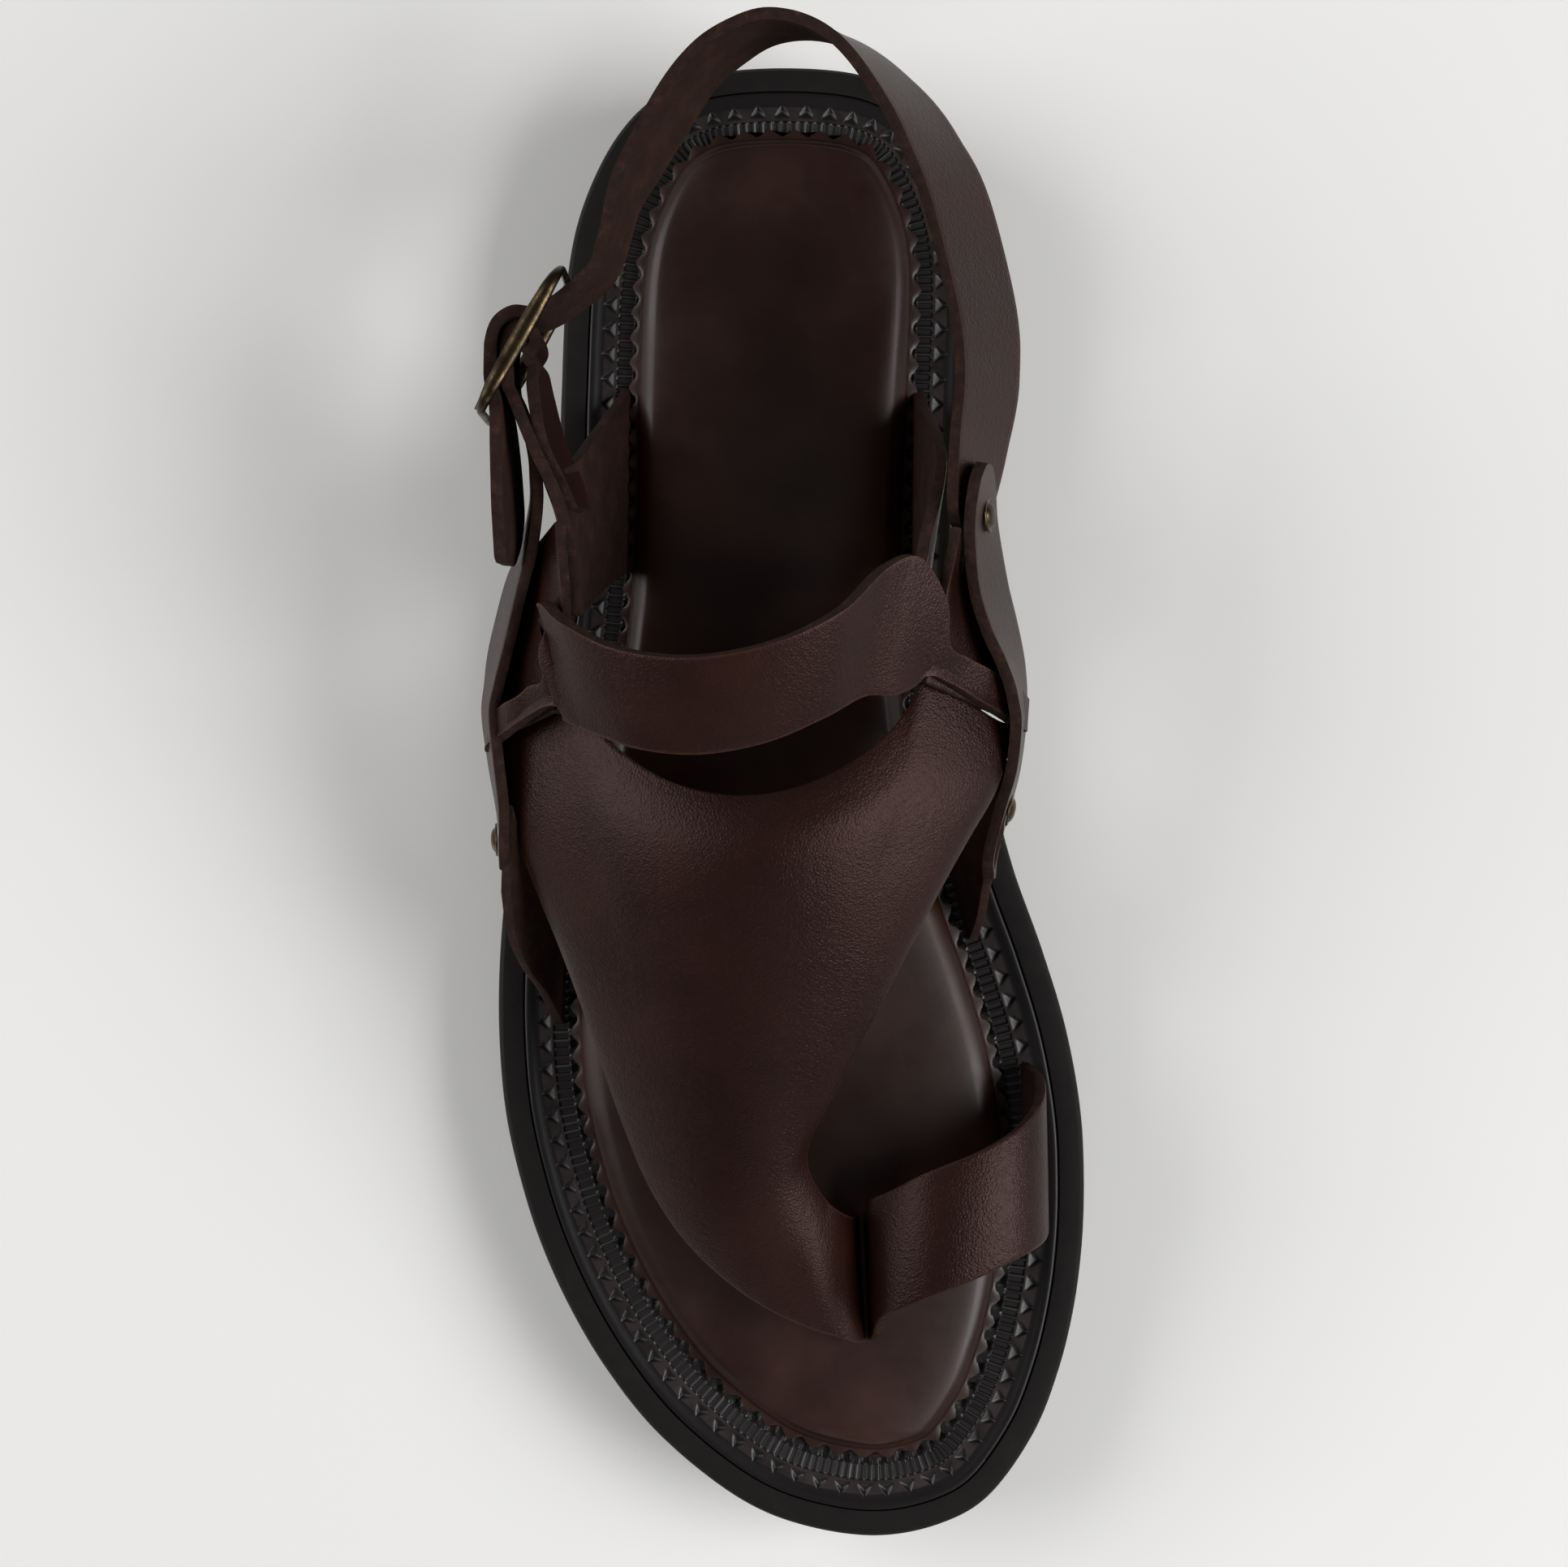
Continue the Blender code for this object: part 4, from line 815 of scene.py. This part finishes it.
@shared
def brass_brushed_antiqued(name):
    """Brass, cast, brushed crosswise in 0.3 mm lines, then darkened: bright and brown in spots of 3 mm."""
    stops = [(0.30, "#231b14"), (0.52, "#3f3528"), (0.78, "#7a6548")]
    material, spot, _ = tinted(name, (300.0, 5.0, 0.65), stops, (0.3, 0.7, 0.45, 0.24))
    turn = (0.0, 0.0, -math.atan2(BUCKLE_FORWARD[1], BUCKLE_FORWARD[0]))
    stretch = {"Vector": spot, "Rotation": turn, "Scale": (1.0, 0.06, 0.06)}
    turned = node(material, "ShaderNodeMapping", stretch, vector_type="POINT").outputs["Vector"]
    brushing = node(
        material, "ShaderNodeTexNoise", {"Vector": turned, "Scale": 3200.0, "Detail": 3.0, "Roughness": 0.6}
    ).outputs["Fac"]
    return finished(material, brushing, 0.5, 0.00006, {"Metallic": 1.0})


def contents(mesh):
    """The corners and the faces of a mesh, as lists."""
    return [tuple(v.co) for v in mesh.vertices], [tuple(f.vertices) for f in mesh.polygons]


def rebuild(mesh, points, faces):
    mesh.clear_geometry()
    mesh.from_pydata(points, [], faces)
    mesh.update()


def rings_mesh(name, rings):
    """A tube of faces through rings of equal count, open at both ends."""
    count = len(rings[0])
    faces = []
    for level in range(len(rings) - 1):
        for k in range(count):
            near, far = level * count + k, level * count + (k + 1) % count
            faces.append((near, far, far + count, near + count))
    mesh = bpy.data.meshes.new(name)
    mesh.from_pydata(np.concatenate(rings).tolist(), [], faces)
    mesh.update()
    piece = bpy.data.objects.new(name, mesh)
    bpy.context.scene.collection.objects.link(piece)
    return piece


def close_with_rungs(mesh, first, count, height=None, columns=1):
    """Closes a ring of points, whose first index is given, by rungs from one side to the other.

    Height gives the level of a rung's inner point from the point, its share across and its share down.
    """
    points, faces = contents(mesh)
    half = count // 2
    rows = []
    for k in range(1, half):
        near, far = first + k, first + count - k
        a, b = Vector(points[near]), Vector(points[far])
        row = [near]
        for column in range(1, columns):
            point = a.lerp(b, column / columns)
            point.z = height(point, column / columns, k / half)
            points.append(tuple(point))
            row.append(len(points) - 1)
        row.append(far)
        rows.append(row)
    for here, there in zip(rows, rows[1:]):
        for left in range(columns):
            faces.append((here[left], there[left], there[left + 1], here[left + 1]))
    for tip, row in ((first, rows[0]), (first + half, rows[-1])):
        for left in range(columns):
            faces.append((tip, row[left], row[left + 1]))
    rebuild(mesh, points, faces)


def closed_body(name, rings, material, low=(), high=()):
    """A closed body through rings of equal count; low and high: height and columns of its shaped ends."""
    piece = rings_mesh(name, rings)
    count = len(rings[0])
    close_with_rungs(piece.data, 0, count, *low)
    close_with_rungs(piece.data, (len(rings) - 1) * count, count, *high)
    piece.data.materials.append(material)
    recalculate(piece)
    return piece


class SandalSizes(bpy.types.PropertyGroup):
    leather: FloatProperty(
        name="Leather", description="Thickness of the straps", default=LEATHER, unit="LENGTH"
    )
    edge_round: FloatProperty(
        name="Edge rounding", description="Rounding of the straps' cut edges", default=0.0005, unit="LENGTH"
    )
    tooth: FloatProperty(
        name="Tooling depth", description="Depth of the board's triangles", default=0.0007, unit="LENGTH"
    )


class SandalFinish(bpy.types.PropertyGroup):
    floor: FloatVectorProperty(
        name="Floor", description="Colour of the studio floor", subtype="COLOR", default=linear("#e6e5e3")
    )
    light: FloatProperty(name="Soft light", description="Strength of the soft lights", default=1.0)


class SANDAL_OT_outsole(bpy.types.Operator):
    """The rubber sole with its flat rim, stepped side, arch and tread"""

    bl_idname = "sandal.outsole"
    bl_label = "Outsole"

    def execute(self, context):
        outline = sole_outline(OUTSOLE_POINTS)
        bars = SOLE_LENGTH / TREAD_PITCH

        def rim(along):
            return deck(along) - BOARD_PROUD

        def tread(point, share, down):
            """Height of the underside: grooves across the ball and the heel, none in the arch."""
            along = along_of(point.y)
            phase = (down * bars) % 1.0
            groove = smooth((TREAD_GROOVE_WIDTH / TREAD_PITCH / 2 - abs(phase - 0.5)) / 0.04)
            flat = smooth((0.02 - along) / 0.03) + smooth((along - 0.52) / 0.03)
            border = smooth(min(share, 1 - share) / 0.06 - 1)
            return ground(along) + TREAD_GROOVE_DEPTH * groove * flat * border

        rings = []
        for depth, share in SIDE_STEPS:
            xy = inset(outline, depth)
            low, high = heights(ground, xy[:, 1]), heights(rim, xy[:, 1]) + RIM_EDGE_RISE
            rings.append(np.column_stack([xy, low + share * (high - low)]))
        for depth, rise in RIM_STEPS:
            xy = inset(outline, depth)
            rings.append(np.column_stack([xy, heights(rim, xy[:, 1]) + rise]))
        piece = closed_body("outsole_rubber", rings, sole_rubber_moulded(), low=(tread, TREAD_COLUMNS))
        finish_piece(piece, "outsole", 32.0)
        return {"FINISHED"}


def pitched(edge, pitch):
    """Share of a pitch at each point of a closed edge, with a whole number of pitches round it."""
    reach = np.linalg.norm(np.roll(edge, -1, axis=0) - edge, axis=1)
    lengths = np.concatenate([[0.0], np.cumsum(reach)])
    return (lengths[:-1] / lengths[-1] * round(lengths[-1] / pitch)) % 1.0


def triangle_dent(depth, phase, row, out):
    """0 outside a pressed triangle and 1 at its deepest; its point is at the row's out side."""
    low, high = row
    share = (depth - low) / (high - low)
    if not out:
        share = 1 - share
    from_side = 0.42 * share - np.abs(phase - 0.5)
    inside = np.minimum(from_side / 0.12, (1 - share) / 0.55)
    return np.clip(inside, 0.0, 1.0) * (share > 0) * (share < 1)


class SANDAL_OT_board(bpy.types.Operator):
    """The black board, tooled with triangles, ribs and an inner row of dents"""

    bl_idname = "sandal.board"
    bl_label = "Embossed board"

    def execute(self, context):
        tooth_depth = context.scene.sandal_sizes.tooth
        outline = sole_outline(BOARD_POINTS)
        edge = inset(outline, RIM_WIDTH + CLEARANCE)
        phase = pitched(edge, TOOTH_PITCH)
        ribs = np.exp(-(((pitched(edge, RIB_PITCH) - 0.5) / RIB_SHARE) ** 2))
        outer_steps = np.linspace(OUTER_ROW[0], OUTER_ROW[1], 7)
        inner_steps = np.linspace(INNER_ROW[0] + 0.0004, INNER_ROW[1], 4)
        rings = []
        wear_and_painted_light = []
        for level, depth in enumerate([*MARGIN_STEPS, *outer_steps, *RIB_STEPS, *inner_steps]):
            outer = triangle_dent(depth, phase, OUTER_ROW, True)
            inner = triangle_dent(depth, phase, INNER_ROW, False)
            ribbed = RIB_BAND[0] < depth < RIB_BAND[1]
            # Level of wear and painted light at each point. It is high on the rib crests and between the
            # triangles, which makes them paler and glossier, partly as wear and partly as a painted
            # highlight. It is low in the dents and between the ribs, which makes them darker as painted
            # shade.
            wear_and_light_level = np.full(len(outline), 0.44)
            if ribbed:
                wear_and_light_level = 0.02 + 0.98 * ribs
            elif depth > INNER_ROW[0]:
                wear_and_light_level = 0.30 * (1 - inner)
            elif depth > OUTER_ROW[0]:
                wear_and_light_level = 0.60 * (1 - outer) + 0.10
            wear_and_painted_light.append(wear_and_light_level)
            xy = inset(outline, RIM_WIDTH + CLEARANCE + depth)
            z = heights(deck, xy[:, 1])
            if level == 0:
                z = z - BOARD_THICKNESS + CLEARANCE
            elif level == 1:
                z = z - 1.2 * BOARD_PROUD
            else:
                z = z - BOARD_EDGE_DROP * max(0.0, 1 - depth / BOARD_EDGE_REACH) ** 2
                z = z - TOOLED_DROP * smooth((depth - 0.0010) / 0.0016)
                z = z - tooth_depth * outer
                if ribbed:
                    z = z - RIB_FLOOR_DROP + RIB_HEIGHT * ribs
                z = z - INNER_DENT_DEPTH * inner
            rings.append(np.column_stack([xy, z]))
        piece = closed_body("tooled_board", rings, pressed_leather_board_polished())
        measure(piece, "wear_and_painted_light", np.concatenate(wear_and_painted_light))
        finish_piece(piece, "welt_board", 60.0)
        return {"FINISHED"}


class SANDAL_OT_footbed(bpy.types.Operator):
    """The brown footbed: pinked lower edge, padded and crowned top"""

    bl_idname = "sandal.footbed"
    bl_label = "Footbed"

    def execute(self, context):
        outline = sole_outline(FOOTBED_POINTS)
        margin = footbed_margin(outline)
        phase = pitched(inset(outline, margin), TOOTH_PITCH)
        tooth = PINKING * (1 - 2 * np.abs(phase - 0.5))
        rows = [
            (-tooth, CLEARANCE), (-tooth, 0.0011), (-0.3 * tooth, 0.0013), (0.0004, 0.0014), (0.0006, 0.0021),
            (0.0012, 0.0030), (0.0020, FOOTBED_SIDE),
        ]
        rings = []
        for depth, rise in rows:
            xy = inset(outline, margin + depth)
            rings.append(np.column_stack([xy, heights(deck, xy[:, 1]) + rise]))

        def top(point, share, down):
            rise = footbed_top(2 * down - 1, 2 * share - 1) - FOOTBED_EDGE
            return deck(along_of(point.y)) + FOOTBED_SIDE + rise

        piece = closed_body("footbed_pad", rings, calf_footbed_glazed(), high=(top, FOOTBED_COLUMNS))
        finish_piece(piece, "footbed", 60.0)
        return {"FINISHED"}


class SANDAL_OT_upper(bpy.types.Operator):
    """Vamp, instep band, wings, quarters, front straps and side straps"""

    bl_idname = "sandal.upper"
    bl_label = "Upper straps"

    def execute(self, context):
        no_feet = (False, False)
        band = edge_grid(INSTEP_BAND, 28, 8, bow=0.02, feet=no_feet)
        grids = {
            "vamp": edge_grid(VAMP, 60, 8, crown=VAMP_CROWN),
            "instep_band": lifted(curled(band, *BAND_CURL), BAND_LIFT),
            "lateral_wing": edge_grid(LATERAL_WING, 16, 6, feet=no_feet),
            "medial_wing": edge_grid(MEDIAL_WING, 16, 6, feet=no_feet),
            "lateral_quarter": lifted(edge_grid(LATERAL_QUARTER, 20, 8), [0, 0, 0, -0.0010, -0.0022]),
            "medial_quarter": lifted(edge_grid(MEDIAL_QUARTER, 20, 8), [0, 0, 0, -0.0008, -0.0016]),
            "lateral_front_strap": edge_grid(LATERAL_FRONT_STRAP, 16, 8),
            "medial_front_strap": edge_grid(MEDIAL_FRONT_STRAP, 16, 8),
        }
        loop = placed(BUCKLE_HOLDER)
        loop += arc_round_bar(loop_radius(), *HOLDER_ARC, 0.98)
        loop += placed(BUCKLE_LOOP_RETURN)
        upright = {
            "buckle_holder": loop,
            "lateral_side_strap": placed(LATERAL_SIDE_STRAP),
            "medial_side_strap": placed(MEDIAL_SIDE_STRAP),
        }
        for name, rows in upright.items():
            grids[name] = upright_grid(rows, SIDE_STRAP_WIDTH, -1, 8, 14)
        for name, grid in grids.items():
            leather_strap(name, grid, "upper", even=name != "instep_band")
        return {"FINISHED"}


class SANDAL_OT_toe_loop(bpy.types.Operator):
    """The loop over the big toe"""

    bl_idname = "sandal.toe_loop"
    bl_label = "Toe loop"

    def execute(self, context):
        grid = edge_grid(TOE_LOOP, 30, 8, bow=0.03, feet=(True, True))
        leather_strap("toe_loop_strap", grid, "toe_loop")
        return {"FINISHED"}


class SANDAL_OT_heel_strap(bpy.types.Operator):
    """The strap round the heel, through the buckle to its free end"""

    bl_idname = "sandal.heel_strap"
    bl_label = "Heel strap"

    def execute(self, context):
        rows = placed(HEEL_STRAP)
        rows += arc_round_bar(heel_strap_radius(), *HEEL_ARC, 1.0)
        rows += placed(HEEL_STRAP_END)
        leather_strap("heel_strap_leather", upright_grid(rows, HEEL_STRAP_WIDTH, 1, 8, 16), "heel_strap")
        return {"FINISHED"}


def wire_along(name, points, radii, closed):
    """A bar along a line, its section an ellipse that may change: radii are half widths across and up."""
    points = [Vector(p) for p in points]
    count = len(points)
    rings = []
    for k, point in enumerate(points):
        if closed:
            ahead = points[(k + 1) % count] - points[k - 1]
        else:
            ahead = points[min(k + 1, count - 1)] - points[max(k - 1, 0)]
        ahead.normalize()
        side = buckle_ways()[1]
        side = (side - ahead * side.dot(ahead)).normalized()
        up = ahead.cross(side)
        wide, high = radii(k / (count if closed else count - 1), point)
        ring = []
        for j in range(WIRE_SIDES):
            angle = 2 * math.pi * j / WIRE_SIDES
            ring.append(tuple(point + side * wide * math.cos(angle) + up * high * math.sin(angle)))
        rings.append(np.array(ring))
    if closed:
        rings.append(rings[0])
    piece = rings_mesh(name, rings)
    if not closed:
        corners, faces = contents(piece.data)
        faces += [tuple(range(WIRE_SIDES)), tuple(range((count - 1) * WIRE_SIDES, count * WIRE_SIDES))]
        rebuild(piece.data, corners, faces)
    recalculate(piece, 1e-6)
    return piece


class SANDAL_OT_buckle(bpy.types.Operator):
    """The brass frame with its bar, and the prong"""

    bl_idname = "sandal.buckle"
    bl_label = "Buckle"

    def execute(self, context):
        centre = bar_place()
        forward, out = buckle_ways()
        half_length = BUCKLE_LENGTH / 2 - BUCKLE_WIRE_RADIUS
        half_height = BUCKLE_HEIGHT / 2 - BUCKLE_WIRE_RADIUS
        ring = []
        for corner in range(4):
            side = 1 if corner in (0, 3) else -1
            level = 1 if corner in (0, 1) else -1
            for k in range(9):
                angle = math.radians(90 * corner + 90 / 8 * k)
                ahead = side * (half_length - BUCKLE_CORNER_RADIUS) + BUCKLE_CORNER_RADIUS * math.cos(angle)
                up = level * (half_height - BUCKLE_CORNER_RADIUS) + BUCKLE_CORNER_RADIUS * math.sin(angle)
                ring.append(centre + forward * ahead + Vector((0, 0, up)))
        line = evenly([tuple(p) for p in ring + ring[:1]], 160)[:-1]

        def rail(share, point):
            """Half widths of the frame's section: broad in the middle of each rail, narrow at the posts."""
            ahead = (point - centre).dot(forward) / half_length
            level = smooth((abs(point.z - centre.z) / half_height - 0.55) / (0.98 - 0.55))
            swell = level * max(0.0, 1 - ahead * ahead) ** 0.7
            return 0.0008 + 0.0008 * swell, 0.0007 + 0.0002 * swell

        piece = wire_along("buckle_frame_brass", line, rail, True)
        piece.data.materials.append(brass_brushed_antiqued())
        bar_line = [centre + Vector((0, 0, half_height * (2 * k / 24 - 1))) for k in range(25)]
        bar = wire_along("bar", bar_line, lambda share, point: (BAR_RADIUS, BAR_RADIUS), False)
        take(piece)
        bar.select_set(True)
        bpy.ops.object.join()
        finish_piece(piece, "buckle_frame")
        start = BUCKLE_WIRE_RADIUS + CLEARANCE + PRONG_RADIUS
        strap_out = heel_strap_radius() + LEATHER / 2 + CLEARANCE + PRONG_RADIUS
        rows = [
            (0.0, start), (0.02 * half_length, 0.50 * strap_out), (0.13 * half_length, 0.83 * strap_out),
            (0.30 * half_length, 0.68 * strap_out), (0.62 * half_length, 0.32 * strap_out),
            (0.97 * half_length, 0.70 * start),
        ]
        line = [centre + forward * ahead + out * away for ahead, away in through(rows, 8)]
        section = (PRONG_RADIUS, PRONG_RADIUS)
        prong = wire_along("buckle_prong_brass", line, lambda share, point: section, False)
        prong.data.materials.append(brass_brushed_antiqued())
        finish_piece(prong, "buckle_prong")
        return {"FINISHED"}


def rivet_head(node_name, row, way):
    """A domed head with a rim, modelled flat on the ground and then seated on its strap."""
    deselect()
    bpy.ops.mesh.primitive_circle_add(vertices=40, radius=RIVET_FLARE * RIVET_RADIUS, fill_type="NOTHING")
    piece = bpy.context.active_object
    piece.name = f"{node_name}_head"
    bpy.ops.object.mode_set(mode="EDIT")
    bpy.ops.mesh.select_all(action="SELECT")
    size, level = 1.0, 0.0
    for share, rise in RIVET_PROFILE:
        bpy.ops.mesh.extrude_region_move(
            TRANSFORM_OT_translate={"value": (0, 0, (rise - level) * RIVET_HEIGHT)}
        )
        bpy.ops.transform.resize(value=(share / size, share / size, 1), center_override=(0, 0, 0))
        size, level = share, rise
    bpy.ops.mesh.edge_face_add()
    bpy.ops.mesh.select_all(action="SELECT")
    bpy.ops.mesh.normals_make_consistent(inside=False)
    bpy.ops.object.mode_set(mode="OBJECT")
    inside = Vector((way.y, -way.x, 0)).normalized()
    lean = row[3]
    out = -(inside * math.sqrt(1 - lean * lean) - Vector((0, 0, lean)))
    seat = Vector(row[:3]) + out * (LEATHER / 2 + RIVET_SEAT - RIVET_SINK)
    turn = out.to_track_quat("Z", "Y").to_matrix().to_4x4()
    piece.data.transform(Matrix.Translation(seat) @ turn)
    piece.data.materials.append(brass_brushed_antiqued())
    finish_piece(piece, node_name)


class SANDAL_OT_rivets(bpy.types.Operator):
    """The three rivet heads"""

    bl_idname = "sandal.rivets"
    bl_label = "Rivets"

    def execute(self, context):
        rivets = (
            ("medial_rear_rivet", MEDIAL_SIDE_STRAP, 4),
            ("medial_front_rivet", MEDIAL_SIDE_STRAP, 12),
            ("lateral_front_rivet", LATERAL_SIDE_STRAP, 1),
        )
        for node_name, table, index in rivets:
            before, row, after = placed(table[index - 1: index + 2])
            rivet_head(node_name, row, Vector(after[:3]) - Vector(before[:3]))
        return {"FINISHED"}


class SANDAL_OT_stage(bpy.types.Operator):
    """Pale floor, soft lights and the camera straight above"""

    bl_idname = "sandal.stage"
    bl_label = "Stage"

    def execute(self, context):
        finish = context.scene.sandal_finish
        deselect()
        bpy.ops.mesh.primitive_plane_add(size=8.0, location=(0, 0, 0))
        floor = context.active_object
        floor.name = "floor"
        # Painted matt and nearly white, so that it takes soft shadows and shows no reflection
        material = bpy.data.materials.new("studio_floor_painted_matt")
        material.use_nodes = True
        feed(material, material.node_tree.nodes["Principled BSDF"], {
            "Base Color": (*finish.floor, 1.0),
            "Roughness": 0.75,
            "Specular IOR Level": 0.1,
        })
        floor.data.materials.append(material)
        world = bpy.data.worlds.new("soft_room")
        world.use_nodes = True
        feed(world, world.node_tree.nodes["Background"], {"Color": opaque("#f3f4f6"), "Strength": ROOM_LIGHT})
        context.scene.world = world
        for name, spot, size, power in SOFTBOXES:
            deselect()
            bpy.ops.object.light_add(type="AREA", location=spot)
            lamp = context.active_object
            lamp.name = f"softbox_{name}"
            lamp.data.shape = "SQUARE"
            lamp.data.size = size
            lamp.data.energy = power * finish.light
            aim = Vector((0, 0, 0.03)) - Vector(spot)
            lamp.rotation_mode = "QUATERNION"
            lamp.rotation_quaternion = aim.to_track_quat("-Z", "Y")
        camera = bpy.data.objects.new("camera", bpy.data.cameras.new("camera"))
        context.scene.collection.objects.link(camera)
        camera.data.sensor_width = 36.0
        camera.data.lens = CAMERA_LENS
        camera.location = CAMERA_PLACE
        camera.rotation_euler = (0.0, 0.0, 0.0)
        context.scene.camera = camera
        context.scene.view_settings.view_transform = "Standard"
        return {"FINISHED"}


OPERATORS = (
    SANDAL_OT_outsole, SANDAL_OT_board, SANDAL_OT_footbed, SANDAL_OT_upper, SANDAL_OT_toe_loop,
    SANDAL_OT_heel_strap, SANDAL_OT_buckle, SANDAL_OT_rivets, SANDAL_OT_stage,
)


class SANDAL_PT_pieces(bpy.types.Panel):
    bl_idname = "SANDAL_PT_pieces"
    bl_label = "Wraparound sandal"
    bl_space_type = "VIEW_3D"
    bl_region_type = "UI"
    bl_category = "Sandal"

    def draw(self, context):
        for group in (context.scene.sandal_sizes, context.scene.sandal_finish):
            for name in group.__annotations__:
                self.layout.prop(group, name)
        for operator in OPERATORS:
            self.layout.operator(operator.bl_idname)


CLASSES = (SandalSizes, SandalFinish, *OPERATORS, SANDAL_PT_pieces)


def register():
    for item in CLASSES:
        bpy.utils.register_class(item)
    bpy.types.Scene.sandal_sizes = PointerProperty(type=SandalSizes)
    bpy.types.Scene.sandal_finish = PointerProperty(type=SandalFinish)


def unregister():
    del bpy.types.Scene.sandal_finish
    del bpy.types.Scene.sandal_sizes
    for item in reversed(CLASSES):
        bpy.utils.unregister_class(item)


def main():
    register()
    bpy.ops.sandal.outsole()
    bpy.ops.sandal.board()
    bpy.ops.sandal.footbed()
    bpy.ops.sandal.upper()
    bpy.ops.sandal.toe_loop()
    bpy.ops.sandal.heel_strap()
    bpy.ops.sandal.buckle()
    bpy.ops.sandal.rivets()
    bpy.ops.sandal.stage()


if __name__ == "__main__":
    main()
